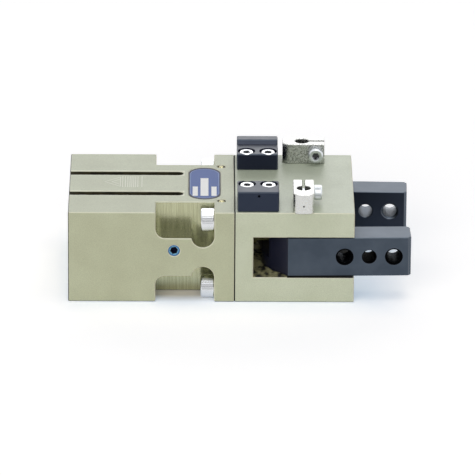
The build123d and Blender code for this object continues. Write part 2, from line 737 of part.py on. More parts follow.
def block_screw_seat_z():
    return HALF_HEIGHT + BLOCK_HEIGHT - BLOCK_SCREW_SINK - M3_HEAD_HEIGHT


def top_block():
    """The black block on the +Y side, with its higher rim along the body's side."""
    low = HALF_HEIGHT + BLOCK_HEIGHT
    high = HALF_HEIGHT + BLOCK_RIM_HEIGHT
    ramp = BLOCK_RIM_HEIGHT - BLOCK_HEIGHT
    profile = Polygon(
        (BLOCK_INNER_Y, HALF_HEIGHT),
        (BLOCK_OUTER_Y, HALF_HEIGHT),
        (BLOCK_OUTER_Y, high),
        (BLOCK_RIM_Y, high),
        (BLOCK_RIM_Y - ramp, low),
        (BLOCK_INNER_Y, low),
        align=None,
    )
    body = Pos(BLOCK_START_X, 0, 0) * extrude(
        Plane.YZ * profile, BLOCK_END_X - BLOCK_START_X
    )
    places = [("X", BLOCK_START_X), ("X", BLOCK_END_X)]
    places += [("Y", BLOCK_INNER_Y), ("Y", BLOCK_OUTER_Y)]
    body = break_edges(body, places, BLOCK_EDGE)
    for x in block_screw_xs():
        body -= along_z(
            M3_CLEARANCE_RADIUS, HALF_HEIGHT - OVER, low + OVER, x, BLOCK_SCREW_Y
        )
        body -= along_z(
            COUNTERBORE_RADIUS, block_screw_seat_z(), low + OVER, x, BLOCK_SCREW_Y
        )
    body -= along_y(
        BLOCK_HOLE_RADIUS,
        BLOCK_OUTER_Y - BLOCK_HOLE_DEPTH,
        BLOCK_OUTER_Y + OVER,
        BLOCK_HOLE_X,
        high - BLOCK_HOLE_DROP,
    )
    return body


def m3_screw(length):
    return cap_screw(
        M3_RADIUS, length, M3_HEAD_RADIUS, M3_HEAD_HEIGHT, M3_HEX, M3_HEX_DEPTH
    )


def block_screws():
    screw = m3_screw(BLOCK_SCREW_LENGTH)
    return [
        Pos(x, side * BLOCK_SCREW_Y, block_screw_seat_z()) * screw
        for side in (-1, 1)
        for x in block_screw_xs()
    ]


def clamp_local():
    """A slit sensor clamp about its bore, closed end towards -x, screw across the slit along y."""
    half = CLAMP_WIDTH / 2
    outline = Polygon(
        (-CLAMP_CLOSED_END, -half),
        (CLAMP_OPEN_END, -half),
        (CLAMP_OPEN_END, half),
        (-CLAMP_CLOSED_END, half),
        align=None,
    )
    closed = outline.vertices().group_by(Axis.X)[0]
    outline = fillet(closed, CLAMP_CORNER_RADIUS)
    body = extrude(outline, CLAMP_HEIGHT)
    body += along_z(CLAMP_SPIGOT_RADIUS, -CLAMP_SPIGOT_DEPTH, OVER, 0, 0)
    body -= along_z(
        CLAMP_BORE_RADIUS, -CLAMP_SPIGOT_DEPTH - OVER, CLAMP_HEIGHT + OVER, 0, 0
    )
    slit = CLAMP_SLIT / 2
    body -= block(0, CLAMP_OPEN_END + OVER, -slit, slit, 0, CLAMP_HEIGHT + OVER)
    x, z = CLAMP_SCREW_OFFSET, CLAMP_SCREW_HEIGHT
    body -= along_y(M3_CLEARANCE_RADIUS, -half - OVER, 0, x, z)
    body -= along_y(M3_RADIUS, 0, half + OVER, x, z)
    places = [("Y", -half), ("Y", half), ("Z", CLAMP_HEIGHT)]
    return break_edges(body, places, CLAMP_CHAMFER)


def clamp_screw_local():
    half = CLAMP_WIDTH / 2
    turned = Rot(90, 0, 0) * m3_screw(CLAMP_SCREW_LENGTH)
    return Pos(CLAMP_SCREW_OFFSET, -half, CLAMP_SCREW_HEIGHT) * turned


def clamp_places():
    """The near clamp opens towards +Y with its screw head towards +X, the far clamp towards +X."""
    near = Pos(CLAMP_X, -CLAMP_Y, HALF_HEIGHT) * Rot(0, 0, 90)
    far = Pos(CLAMP_X, CLAMP_Y, HALF_HEIGHT)
    return near, far


def housing_screws():
    screw = cap_screw(
        M5_RADIUS, SCREW_LENGTH, M5_HEAD_RADIUS, M5_HEAD_HEIGHT, M5_HEX, M5_HEX_DEPTH
    )
    turned = Rot(0, -90, 0) * screw
    return [Pos(FLANGE_X, y * SCREW_Y, z * SCREW_Z) * turned for y, z in corners()]


def piston_screw():
    screw = cap_screw(
        M5_RADIUS,
        PISTON_SCREW_LENGTH,
        M5_HEAD_RADIUS,
        M5_HEAD_HEIGHT,
        M5_HEX,
        M5_HEX_DEPTH,
    )
    return Pos(PISTON_SCREW_SEAT_X, 0, 0) * Rot(0, -90, 0) * screw


def port_plug():
    """The set screw in the near port, with its hexagon outwards."""
    face = HALF_WIDTH - PLUG_SINK
    plug = along_y(PORT_RADIUS, -face, -face + PLUG_LENGTH, FRONT_PORT_X, PORT_Z)
    socket = Rot(90, 0, 0) * hexagon_prism(PLUG_HEX, PLUG_HEX_DEPTH + OVER)
    return plug - Pos(FRONT_PORT_X, -face + PLUG_HEX_DEPTH, PORT_Z) * socket


def many(solids):
    return Compound(children=list(solids))


def build():
    near_jaw, far_jaw = jaws()
    near_clamp, far_clamp = clamp_places()
    clamp = clamp_local()
    clamp_screw = clamp_screw_local()
    high_block = top_block()
    rod_seal_inner = ROD_RADIUS + RUNNING
    bore_running = BORE_RADIUS - RUNNING
    label_bottom = HALF_HEIGHT - LABEL_DEPTH
    label_top = label_bottom + LABEL_THICKNESS
    sides = (-1, 1)
    return {
        "rear_housing": rear_housing(),
        "front_housing": front_housing(),
        "cylinder_cover": cylinder_cover(),
        "cover_o_ring": o_ring(),
        "rod_bush": ring_x(
            rod_seal_inner, BUSH_OUTER_RADIUS, BUSH_START_X, BUSH_START_X + BUSH_LENGTH
        ),
        "rod_seal": lip_seal(
            rod_seal_inner, ROD_SEAL_RADIUS, ROD_SEAL_START_X, ROD_SEAL_LENGTH, True
        ),
        "piston": piston(),
        "piston_seal": lip_seal(
            PISTON_SEAL_ROOT, bore_running, PISTON_SEAL_START_X, PISTON_SEAL_LENGTH, True
        ),
        "piston_guide_ring": ring_x(
            GUIDE_ROOT, bore_running, GUIDE_START_X, GUIDE_START_X + GUIDE_LENGTH
        ),
        "piston_magnet": ring_x(
            MAGNET_ROOT, MAGNET_RADIUS, MAGNET_START_X, MAGNET_START_X + MAGNET_LENGTH
        ),
        "piston_screw": piston_screw(),
        "piston_rod": piston_rod(),
        "drive_pin": along_z(
            DRIVE_PIN_RADIUS,
            -DRIVE_PIN_HALF_LENGTH,
            DRIVE_PIN_HALF_LENGTH,
            drive_pin_x(),
            0,
        ),
        "jaw_near": near_jaw,
        "jaw_far": far_jaw,
        "pivot_pins": many(pivot_pin(side) for side in sides),
        "pivot_screws": many(pivot_screw(side) for side in sides),
        "jaw_shims": many(shim(side, level) for side in sides for level in sides),
        "housing_dowels": many(
            along_x(
                DOWEL_RADIUS,
                REAR_LENGTH - DOWEL_LENGTH / 2,
                REAR_LENGTH + DOWEL_LENGTH / 2,
                side * DOWEL_Y,
            )
            for side in sides
        ),
        "housing_screws": many(housing_screws()),
        "block_near": mirror(high_block, about=Plane.XZ),
        "block_far": high_block,
        "block_screws": many(block_screws()),
        "sensor_clamp_near": near_clamp * clamp,
        "sensor_clamp_far": far_clamp * clamp,
        "clamp_screws": many([near_clamp * clamp_screw, far_clamp * clamp_screw]),
        "label_plate": label_shape(LABEL_GAP, label_bottom, label_top),
        "port_plug": port_plug(),
    }


os.makedirs("parts", exist_ok=True)
for name, shape in build().items():
    export_step(shape, os.path.join("parts", name + ".step"))
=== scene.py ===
import json
import bmesh
import bpy
import numpy as np
from mathutils import Euler, Matrix, Vector


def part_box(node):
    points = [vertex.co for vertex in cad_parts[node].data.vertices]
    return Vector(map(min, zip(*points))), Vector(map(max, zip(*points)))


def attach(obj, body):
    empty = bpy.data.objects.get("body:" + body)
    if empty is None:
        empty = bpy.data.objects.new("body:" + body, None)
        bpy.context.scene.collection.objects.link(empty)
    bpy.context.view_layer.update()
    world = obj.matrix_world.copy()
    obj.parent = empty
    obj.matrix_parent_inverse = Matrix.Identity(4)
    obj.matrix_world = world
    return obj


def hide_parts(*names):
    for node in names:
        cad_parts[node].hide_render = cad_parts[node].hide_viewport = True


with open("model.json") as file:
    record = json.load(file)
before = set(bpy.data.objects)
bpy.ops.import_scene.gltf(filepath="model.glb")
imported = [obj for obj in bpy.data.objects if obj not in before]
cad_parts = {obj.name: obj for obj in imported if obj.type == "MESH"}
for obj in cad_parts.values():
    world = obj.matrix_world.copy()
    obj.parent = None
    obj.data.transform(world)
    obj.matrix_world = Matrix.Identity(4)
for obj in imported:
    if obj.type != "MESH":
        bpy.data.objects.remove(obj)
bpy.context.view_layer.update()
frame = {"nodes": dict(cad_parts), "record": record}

# The frame and the shaders are in metres, and meshes are worked out in millimetres.
MM = 0.001


# Rear housing. It is sawn from aluminium bar, milled all over, bead-blasted and hard anodised
# in natural olive. The cylinder is bored into it, and the corner notches take the housing
# screws, which pull the rear and the front housing together.
REAR_LOW, REAR_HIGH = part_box("rear_housing")
SEAM_X, SEAM_GAP = REAR_HIGH.x, 0.14 * MM
EDGE_WIDTH = 0.33 * MM
FLANGE_THICKNESS, NOTCH_LENGTH, NOTCH_WIDTH = 7.4 * MM, 21.5 * MM, 11.05 * MM
GROOVE_TO_SEAM, GROOVE_Y = 18.8 * MM, 10.3 * MM
GROOVE_RADIUS, GROOVE_DEPTH = 2.3 * MM, 5.2 * MM
LIP_PAST_SIDE, LIP_PAST_END = 0.15 * MM, 0.4 * MM
HOLE_X, HOLE_Y = SEAM_X - 4.8 * MM, REAR_HIGH.y - 12.5 * MM
HOLE_RADIUS, HOLE_DEPTH = 1.55 * MM, 3.0 * MM
# The pale edge colour is a painted highlight on the chamfers, with a little wear. SHADED_EDGE is
# painted shade on the lower and rear edges, and SEAM_SHADE is painted shade in the seam between the
# housings.
HARD_ANODISED, HARD_ANODISED_CLOUD, HARD_ANODISED_EDGE_HIGHLIGHT = "#B9BFA4", "#B1B69B", "#D9DAC4"
SHADED_EDGE, SEAM_SHADE = "#35362F", "#050504"
OXIDE_IOR, OXIDE_ROUGHNESS, CLOUD_WIDTH, FLAT_COSINE = 1.65, 0.42, 14 * MM, 0.96
# The blast's grain and the mill's lines are finer than a pixel, and are drawn coarse to show.
BLAST_GRAIN, MILLING_STEP = 0.28 * MM, 0.3 * MM


def linear(colour):
    """Turns an sRGB hex colour into linear red, green, blue and a full alpha."""
    levels = [int(colour[i:i + 2], 16) / 255 for i in (1, 3, 5)]
    curve = [v / 12.92 if v <= 0.04045 else ((v + 0.055) / 1.055) ** 2.4 for v in levels]
    return (*curve, 1.0)


def feed(node, inputs):
    """Sets or links a node's inputs, by name or number, from values, sockets or other nodes."""
    for name, value in inputs.items():
        value = value.outputs[0] if hasattr(value, "outputs") else value
        if isinstance(value, bpy.types.NodeSocket):
            node.id_data.links.new(value, node.inputs[name])
        else:
            node.inputs[name].default_value = value
    return node


def add(owner, kind, inputs=None, **properties):
    """Adds a shader node to a material or world, with its properties and inputs."""
    node = owner.node_tree.nodes.new("ShaderNode" + kind)
    for name, value in properties.items():
        setattr(node, name, value)
    return feed(node, inputs or {})


def finish_of(name, colour, metallic, roughness):
    """A material with its shader set to a real finish's typical values, and that shader."""
    material = bpy.data.materials.new(name)
    material.use_nodes = True
    shader = material.node_tree.nodes["Principled BSDF"]
    feed(shader, {"Base Color": linear(colour), "Metallic": metallic, "Roughness": roughness})
    return material, shader


def dress(node, material):
    """Gives a node of the frame its material."""
    mesh = frame["nodes"][node].data
    mesh.materials.clear()
    mesh.materials.append(material)


def depth_in(material, place, low, high):
    """The way from a point to the nearest side of a box, which is positive inside the box."""
    below = add(material, "VectorMath", {0: place, 1: tuple(low)}, operation="SUBTRACT")
    above = add(material, "VectorMath", {0: tuple(high), 1: place}, operation="SUBTRACT")
    nearest = add(material, "VectorMath", {0: below, 1: above}, operation="MINIMUM")
    parts = add(material, "SeparateXYZ", {0: nearest})
    side = add(material, "Math", {0: parts, 1: parts.outputs[1]}, operation="MINIMUM")
    return add(material, "Math", {0: side, 1: parts.outputs[2]}, operation="MINIMUM")


def region(x_range, y_range, z_range):
    """A box's low and high corners from its ranges along X, Y and Z."""
    return tuple(zip(x_range, y_range, z_range))


def inside(material, place, low, high):
    """One where a point lies in a box."""
    depth = depth_in(material, place, low, high)
    return add(material, "Math", {0: depth, 1: 0.0}, operation="GREATER_THAN")


def broken_edges(material, place, low, high):
    """One where a slanting face lies within a chamfer's width of the piece's outer box."""
    depth = depth_in(material, place, low, high)
    thin = add(material, "Math", {0: depth, 1: EDGE_WIDTH}, operation="LESS_THAN")
    facing = add(material, "TexCoord").outputs["Normal"]
    parts = add(
        material, "SeparateXYZ", {0: add(material, "VectorMath", {0: facing}, operation="ABSOLUTE")},
    )
    flat = add(material, "Math", {0: parts, 1: parts.outputs[1]}, operation="MAXIMUM")
    flat = add(material, "Math", {0: flat, 1: parts.outputs[2]}, operation="MAXIMUM")
    slant = add(material, "Math", {0: flat, 1: FLAT_COSINE}, operation="LESS_THAN")
    return add(material, "Math", {0: thin, 1: slant}, operation="MULTIPLY")


def lay(material, skin, mask, over):
    """Mixes a finish over a skin where the mask is one. Both hold what the shader's sockets of
    these names are fed with, and a colour may be given in hex."""
    mixed = dict(skin)
    for name, value in over.items():
        value = linear(value) if isinstance(value, str) else value
        if name == "Base Color":
            blend = add(
                material, "Mix", {0: mask, 6: skin[name], 7: value}, data_type="RGBA",
            ).outputs[2]
        else:
            blend = add(material, "Mix", {0: mask, 2: skin[name], 3: value})
        mixed[name] = blend
    return mixed


def hard_anodised(name, colour, cloud_colour, low, high, shaded, worked):
    """Bead-blasted, hard-anodised aluminium: matt and a little cloudy, with a fine blasted
    grain, and thin edges painted pale as a highlight with a little wear, which are painted
    dark as shade in the shaded boxes and along the seam of the two housings. What was worked
    later, grease, painted shade and painted highlights are laid over it box by box, and each
    box counts on the near and on the far side."""
    material, shader = finish_of(name, colour, 0.0, OXIDE_ROUGHNESS)
    feed(shader, {"IOR": OXIDE_IOR})
    place = add(material, "TexCoord").outputs["Object"]
    cloud = add(material, "TexNoise", {"Vector": place, "Scale": 1 / CLOUD_WIDTH, "Detail": 3.0})
    grain = add(material, "TexNoise", {"Vector": place, "Scale": 1 / BLAST_GRAIN, "Detail": 2.0})
    cloudy = add(material, "MapRange", {"Value": cloud, "From Min": 0.35, "From Max": 0.65})
    speck = add(
        material, "MapRange",
        {"Value": grain, "From Min": 0.3, "From Max": 0.7, "To Min": 0.88, "To Max": 1.12},
    )
    skin = {"Base Color": linear(colour), "Metallic": 0.0, "Roughness": OXIDE_ROUGHNESS}
    skin = lay(material, skin, cloudy, {"Base Color": cloud_colour})
    skin["Base Color"] = add(
        material, "VectorMath", {0: skin["Base Color"], "Scale": speck}, operation="SCALE",
    )
    edge = broken_edges(material, place, low, high)
    skin = lay(material, skin, edge, {"Base Color": HARD_ANODISED_EDGE_HIGHLIGHT})
    for box_low, box_high in shaded:
        shade = inside(material, place, box_low, box_high)
        shade = add(material, "Math", {0: shade, 1: edge}, operation="MULTIPLY")
        skin = lay(material, skin, shade, {"Base Color": SHADED_EDGE})
    seam = inside(
        material, place,
        (SEAM_X - SEAM_GAP, low.y - MM, low.z - MM),
        (SEAM_X + EDGE_WIDTH, high.y + MM, high.z + MM),
    )
    seam = add(material, "Math", {0: seam, 1: edge}, operation="MULTIPLY")
    skin = lay(material, skin, seam, {"Base Color": SEAM_SHADE, "Roughness": 1.0})
    parts = add(material, "SeparateXYZ", {0: place})
    aside = add(material, "Math", {0: parts.outputs[1]}, operation="ABSOLUTE")
    mirrored = add(material, "CombineXYZ", {0: parts, 1: aside, 2: parts.outputs[2]})
    for finish in worked:
        mask = inside(material, mirrored, *finish["box"])
        marks = add(
            material, "Mapping", {"Vector": place, "Scale": tuple(1 / n for n in finish["marks"])},
        )
        marks = add(material, "TexNoise", {"Vector": marks, "Scale": 1.0, "Detail": 2.0})
        tone = add(material, "MapRange", {"Value": marks, "From Min": 0.4, "From Max": 0.6})
        tone = add(
            material, "Mix", {0: tone, 6: linear(finish["dark"]), 7: linear(finish["light"])},
            data_type="RGBA",
        ).outputs[2]
        over = {"Base Color": tone, "Metallic": finish["metallic"], "Roughness": finish["roughness"]}
        skin = lay(material, skin, mask, over)
        grain = add(material, "Mix", {0: mask, 2: grain, 3: marks})
    bump = add(material, "Bump", {"Height": grain, "Strength": 0.35, "Distance": 0.02 * MM})
    feed(shader, {**skin, "Normal": bump})
    return material


MARGIN, UNDER_SKIN = 0.1 * MM, 0.02 * MM
UNDER_EDGE_Y, UNDER_EDGE_Z = REAR_HIGH.y - EDGE_WIDTH, REAR_HIGH.z - EDGE_WIDTH
flange_x = SEAM_X - FLANGE_THICKNESS
groove_end_x = SEAM_X - GROOVE_TO_SEAM
NOTCH = {
    "box": region(
        (flange_x - NOTCH_LENGTH - MARGIN, flange_x + MARGIN),
        (REAR_HIGH.y - NOTCH_WIDTH - MARGIN, UNDER_EDGE_Y), (-UNDER_EDGE_Z, UNDER_EDGE_Z),
    ),
    "marks": (MILLING_STEP, 12 * MM, 12 * MM),
    "dark": "#ACAE8C", "light": "#C0C1A1", "metallic": 0.75, "roughness": 0.22,
}
# Painted shade: the inside of each sensor groove is painted near black, where little light gets in.
GROOVE_PAINTED_SHADE = {
    "box": region(
        (REAR_LOW.x + UNDER_SKIN, groove_end_x + MARGIN),
        (GROOVE_Y - GROOVE_RADIUS - MARGIN, GROOVE_Y + GROOVE_RADIUS + MARGIN),
        (REAR_HIGH.z - GROOVE_DEPTH - MARGIN, UNDER_EDGE_Z),
    ),
    "marks": (3 * MM, 1 * MM, 1 * MM),
    "dark": "#1A1808", "light": "#38331C", "metallic": 0.0, "roughness": 0.6,
}
# Painted highlights: thin pale lines along the grooves' lips and ends.
GROOVE_LIP_HIGHLIGHTS = {
    "box": region(
        (REAR_LOW.x - MARGIN, groove_end_x + LIP_PAST_END),
        (GROOVE_Y - GROOVE_RADIUS - LIP_PAST_SIDE, GROOVE_Y + GROOVE_RADIUS + LIP_PAST_SIDE),
        (REAR_HIGH.z - UNDER_SKIN, REAR_HIGH.z + MARGIN),
    ),
    "marks": (9 * MM, 1 * MM, 1 * MM),
    "dark": "#D8DAC0", "light": "#E6E7D0", "metallic": 0.0, "roughness": 0.35,
}
# Painted shade: the small holes are painted near black round their sealing balls.
TOP_HOLE_PAINTED_SHADE = {
    "box": region(
        (HOLE_X - HOLE_RADIUS - MARGIN, HOLE_X + HOLE_RADIUS + MARGIN),
        (HOLE_Y - HOLE_RADIUS - MARGIN, HOLE_Y + HOLE_RADIUS + MARGIN),
        (REAR_HIGH.z - HOLE_DEPTH - MARGIN, UNDER_EDGE_Z),
    ),
    "marks": (1 * MM, 1 * MM, 0.2 * MM),
    "dark": "#0D0C06", "light": "#2A2714", "metallic": 0.0, "roughness": 0.7,
}
REAR_SHADED = (
    region(
        (REAR_LOW.x - MM, SEAM_X + MM), (REAR_LOW.y - MM, REAR_HIGH.y + MM),
        (REAR_LOW.z - MM, REAR_LOW.z + EDGE_WIDTH),
    ),
    region(
        (REAR_LOW.x - MM, REAR_LOW.x + EDGE_WIDTH), (REAR_LOW.y - MM, REAR_HIGH.y + MM),
        (REAR_LOW.z - MM, REAR_HIGH.z + MM),
    ),
)
dress("rear_housing", hard_anodised(
    "hard_anodised_aluminium_rear", HARD_ANODISED, HARD_ANODISED_CLOUD, REAR_LOW, REAR_HIGH,
    REAR_SHADED, (NOTCH, GROOVE_LIP_HIGHLIGHTS, GROOVE_PAINTED_SHADE, TOP_HOLE_PAINTED_SHADE),
))


# Laser mark on the rear housing's top, between the sensor grooves. It is a plain double arrow
# and bars, burnt pale into the anodising.
SHARP_ANGLE = np.radians(30.0)
MARK_RISE, MARK_WIDTH = 0.012, 0.3
ARROW = ((13.0, 1.2), (18.8, 5.9), (18.8, -3.6), (13.0, 1.2))
INNER_ARROW = ((18.5, 3.6), (15.6, 1.2), (18.5, -1.2))
BARS_X = (19.6, 20.6, 21.5, 22.3, 23.0, 23.7, 24.4, 25.2, 26.7)
BARS_Y = (-4.2, 6.6)


def surface(name, points):
    """A closed skin from a grid of points in mm, or a stack of grids, with its columns wrapped
    round. Rows that lie in one point close into poles. Edges bent by more than the sharp angle
    stay sharp, and the rest are shaded smooth."""
    points = points.reshape(-1, *points.shape[-3:])
    sheets, rows, columns = points.shape[:3]
    here = np.arange(sheets * rows * columns).reshape(sheets, rows, columns)
    after = np.roll(here, -1, axis=2)
    quads = np.stack([here[:, :-1], after[:, :-1], after[:, 1:], here[:, 1:]], axis=-1)
    mesh = bpy.data.meshes.new(name)
    mesh.from_pydata((points.reshape(-1, 3) * MM).tolist(), [], quads.reshape(-1, 4).tolist())
    work = bmesh.new()
    work.from_mesh(mesh)
    bmesh.ops.remove_doubles(work, verts=work.verts, dist=1e-7)
    bmesh.ops.recalc_face_normals(work, faces=work.faces)
    work.to_mesh(mesh)
    work.free()
    mesh.shade_smooth()
    mesh.set_sharp_from_angle(angle=SHARP_ANGLE)
    piece = bpy.data.objects.new(name, mesh)
    bpy.context.scene.collection.objects.link(piece)
    return piece


def strips(starts, ends, top):
    """Thin flat bars from each start to its end, seen from above, as one stack of grids. A
    bar's rows are its first end's middle, the four corners of that end, the four corners of
    the other and its middle, so both ends close into poles."""
    starts, ends = np.array(starts, float), np.array(ends, float)
    along = ends - starts
    along /= np.linalg.norm(along, axis=1, keepdims=True)
    aside = np.stack([-along[:, 1], along[:, 0]], axis=-1) * MARK_WIDTH / 2
    starts, ends = starts - along * MARK_WIDTH / 2, ends + along * MARK_WIDTH / 2
    swing = np.array([1, 1, -1, -1])[None, :, None]
    rise = np.array([0, 1, 1, 0]) * MARK_RISE + top - MARK_RISE / 2
    grids = []
    for row, (end, spread) in enumerate(((starts, 0), (starts, 1), (ends, 1), (ends, 0))):
        flat = end[:, None, :] + swing * spread * aside[:, None, :]
        level = np.broadcast_to(rise if spread else top, flat.shape[:2])
        grids.append(np.concatenate([flat, level[..., None]], axis=-1))
    return np.stack(grids, axis=1)


arrow_starts = [*ARROW[:-1], *INNER_ARROW[:-1], *((x, BARS_Y[0]) for x in BARS_X)]
arrow_ends = [*ARROW[1:], *INNER_ARROW[1:], *((x, BARS_Y[1]) for x in BARS_X)]
mark = surface("arrow_mark", strips(arrow_starts, arrow_ends, REAR_HIGH.z / MM))
mark.data.materials.append(finish_of("laser_marked_anodising", "#E2E4D6", 0.0, 0.5)[0])
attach(mark, "housing")


# Sealing balls. A hardened and polished steel ball is pressed into each small hole by the
# label, to close an air passage that was drilled from the top. Its crown stands just proud.
BALL_RADIUS, BALL_PROUD = 1.5, 0.05
BALL_ROWS, BALL_COLUMNS = 25, 48
BALL_HAZE = 0.8 * MM


def balls(centres):
    """Spheres as a stack of grids: a row is a latitude and a column a longitude."""
    rise = np.linspace(-np.pi / 2, np.pi / 2, BALL_ROWS)[:, None]
    turn = np.linspace(0, 2 * np.pi, BALL_COLUMNS, endpoint=False)[None]
    ball = np.stack(
        [np.cos(rise) * np.cos(turn), np.cos(rise) * np.sin(turn), np.sin(rise) + 0 * turn],
        axis=-1,
    )
    return ball[None] * BALL_RADIUS + np.array(centres)[:, None, None]


ball_z = REAR_HIGH.z / MM + BALL_PROUD - BALL_RADIUS
plugs = surface("sealing_balls", balls(
    [(HOLE_X / MM, side * HOLE_Y / MM, ball_z) for side in (-1, 1)],
))
ball_steel, ball_shader = finish_of("polished_ball_steel", "#B4AE8C", 1.0, 0.2)
ball_place = add(ball_steel, "TexCoord").outputs["Object"]
ball_haze = add(ball_steel, "TexNoise", {"Vector": ball_place, "Scale": 1 / BALL_HAZE})
feed(ball_shader, {
    "Roughness": add(ball_steel, "MapRange", {"Value": ball_haze, "To Min": 0.14, "To Max": 0.26}),
})
plugs.data.materials.append(ball_steel)
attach(plugs, "housing")


# Forked front housing. It is the same bar and blast as the rear housing, from a slightly
# paler batch of anodising, milled to a fork whose two plates carry the pivot pins. Its slot
# behind the jaws holds grease, drawn as blotches of near black and pale olive, which are
# partly painted shade and painted reflections, and beside the jaws the slot is painted dark
# as shade.
FRONT_LOW, FRONT_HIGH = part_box("front_housing")
WEB_THICKNESS, FORK_PLATE = 6.85 * MM, 9.7 * MM
GREASE_END_X, SHADE_ON_EDGE = 80.0 * MM, 0.15 * MM
PALER_ANODISED, PALER_ANODISED_CLOUD = "#C6CEB9", "#BEC6B0"
slot_half = FRONT_HIGH.z - FORK_PLATE
# Grease with painted shade and painted reflections: near black and pale olive blotches in the slot
# behind the jaws.
GREASE_AND_PAINTED_SHADE = {
    "box": region(
        (SEAM_X + WEB_THICKNESS - MARGIN, GREASE_END_X), (-MM, FRONT_HIGH.y - EDGE_WIDTH),
        (-slot_half - MARGIN, slot_half + MARGIN),
    ),
    "marks": (3.2 * MM, 4.5 * MM, 3.2 * MM),
    "dark": "#060708", "light": "#BDB98C", "metallic": 0.0, "roughness": 0.85,
}
# Painted shade: the slot's faces beside the jaws, and a thin strip of its edges, are painted near
# black.
SLOT_PAINTED_SHADE = {
    **GREASE_AND_PAINTED_SHADE, "light": "#1C1D16",
    "box": region(
        (GREASE_END_X, FRONT_HIGH.x - EDGE_WIDTH), (-MM, FRONT_HIGH.y - MARGIN),
        (-slot_half - SHADE_ON_EDGE, slot_half + SHADE_ON_EDGE),
    ),
}
FRONT_SHADED = (
    region(
        (SEAM_X - MM, FRONT_HIGH.x + MM), (FRONT_LOW.y - MM, FRONT_HIGH.y + MM),
        (FRONT_LOW.z - MM, FRONT_LOW.z + EDGE_WIDTH),
    ),
)
dress("front_housing", hard_anodised(
    "hard_anodised_aluminium_front", PALER_ANODISED, PALER_ANODISED_CLOUD, FRONT_LOW, FRONT_HIGH,
    FRONT_SHADED, (GREASE_AND_PAINTED_SHADE, SLOT_PAINTED_SHADE),
))


# Cylinder parts inside the rear housing: turned aluminium cover and piston, bronze bush,
# rubber seals, plastic guide ring and ferrite magnet ring. Each is turned or moulded, so
# its rings run about the cylinder's axis.
RING_LENGTH = 30 * MM
# Real turning rings lie closer than this, and are drawn coarse to show.
TURNING_STEP = 0.25 * MM


def turned(name, colour, metallic, roughness):
    """A turned or moulded ring: fine rings about the X axis in its height and its gloss."""
    material, shader = finish_of(name, colour, metallic, roughness)
    place = add(material, "TexCoord").outputs["Object"]
    across = 1 / RING_LENGTH
    rings = add(
        material, "Mapping", {"Vector": place, "Scale": (1 / TURNING_STEP, across, across)},
    )
    lines = add(material, "TexNoise", {"Vector": rings, "Scale": 1.0, "Detail": 2.0})
    gloss = add(
        material, "MapRange",
        {"Value": lines, "To Min": roughness - 0.08, "To Max": roughness + 0.08},
    )
    bump = add(material, "Bump", {"Height": lines, "Strength": 0.4, "Distance": 0.01 * MM})
    feed(shader, {"Roughness": gloss, "Normal": bump})
    return material


turned_aluminium = turned("turned_aluminium", "#C9CBCE", 1.0, 0.32)
nitrile_rubber = turned("nitrile_rubber", "#1A1A1B", 0.0, 0.6)
for node, material in {
    "cylinder_cover": turned_aluminium,
    "piston": turned_aluminium,
    "cover_o_ring": nitrile_rubber,
    "rod_seal": nitrile_rubber,
    "piston_seal": nitrile_rubber,
    "rod_bush": turned("sintered_bronze", "#B98E58", 1.0, 0.45),
    "piston_guide_ring": turned("guide_ring_plastic", "#CFC6A6", 0.0, 0.5),
    "piston_magnet": turned("bonded_ferrite", "#2A2A2C", 0.0, 0.55),
}.items():
    dress(node, material)


# Piston rod, drive pin, pivot pins, dowels and shims. The rod is hard-chromed and ground,
# and its flat tongue lies in grease. The pins and dowels are hardened and ground, and the
# shims are punched from spring steel.
CHROME, GREASE_DARK, GREASE_LIGHT = "#D2D4D8", "#0B0B08", "#858159"
GREASED_FROM_X, SMEAR_WIDTH = 66.5 * MM, 3.5 * MM
# Real grinding scratches are finer than this, and are drawn coarse to show.
SCRATCH_WIDTH = 0.15 * MM


def ground(name, colour, roughness, streak):
    """A ground steel face: fine scratches, drawn one streak long and a scratch width apart."""
    material, shader = finish_of(name, colour, 1.0, roughness)
    place = add(material, "TexCoord").outputs["Object"]
    thin = 1 / SCRATCH_WIDTH
    drawn = add(material, "Mapping", {"Vector": place, "Scale": (1 / streak, thin, thin)})
    scratches = add(material, "TexNoise", {"Vector": drawn, "Scale": 1.0, "Detail": 3.0})
    gloss = add(
        material, "MapRange",
        {
            "Value": scratches, "From Min": 0.3, "From Max": 0.7,
            "To Min": roughness - 0.07, "To Max": roughness + 0.1,
        },
    )
    bump = add(material, "Bump", {"Height": scratches, "Strength": 0.25, "Distance": 0.006 * MM})
    feed(shader, {"Roughness": gloss, "Normal": bump})
    return material


hardened_pin_steel = ground("hardened_pin_steel", "#C3C4C6", 0.22, 0.6 * MM)
rod_steel = ground("chromed_rod_steel", CHROME, 0.14, 0.5 * MM)
rod_place = add(rod_steel, "TexCoord").outputs["Object"]
greased = inside(rod_steel, rod_place, (GREASED_FROM_X, -1, -1), (1, 1, 1))
smears = add(rod_steel, "TexNoise", {"Vector": rod_place, "Scale": 1 / SMEAR_WIDTH, "Detail": 3.0})
smears = add(rod_steel, "MapRange", {"Value": smears, "From Min": 0.42, "From Max": 0.6})
smears = add(
    rod_steel, "Mix", {0: smears, 6: linear(GREASE_DARK), 7: linear(GREASE_LIGHT)},
    data_type="RGBA",
)
rod_skin = {"Base Color": linear(CHROME), "Metallic": 1.0}
rod_skin = lay(rod_steel, rod_skin, greased, {"Base Color": smears.outputs[2], "Metallic": 0.0})
feed(rod_steel.node_tree.nodes["Principled BSDF"], rod_skin)
dress("piston_rod", rod_steel)
dress("jaw_shims", ground("shim_steel", "#BEBEBC", 0.3, 4 * MM))
for node in ("drive_pin", "pivot_pins", "housing_dowels"):
    dress(node, hardened_pin_steel)


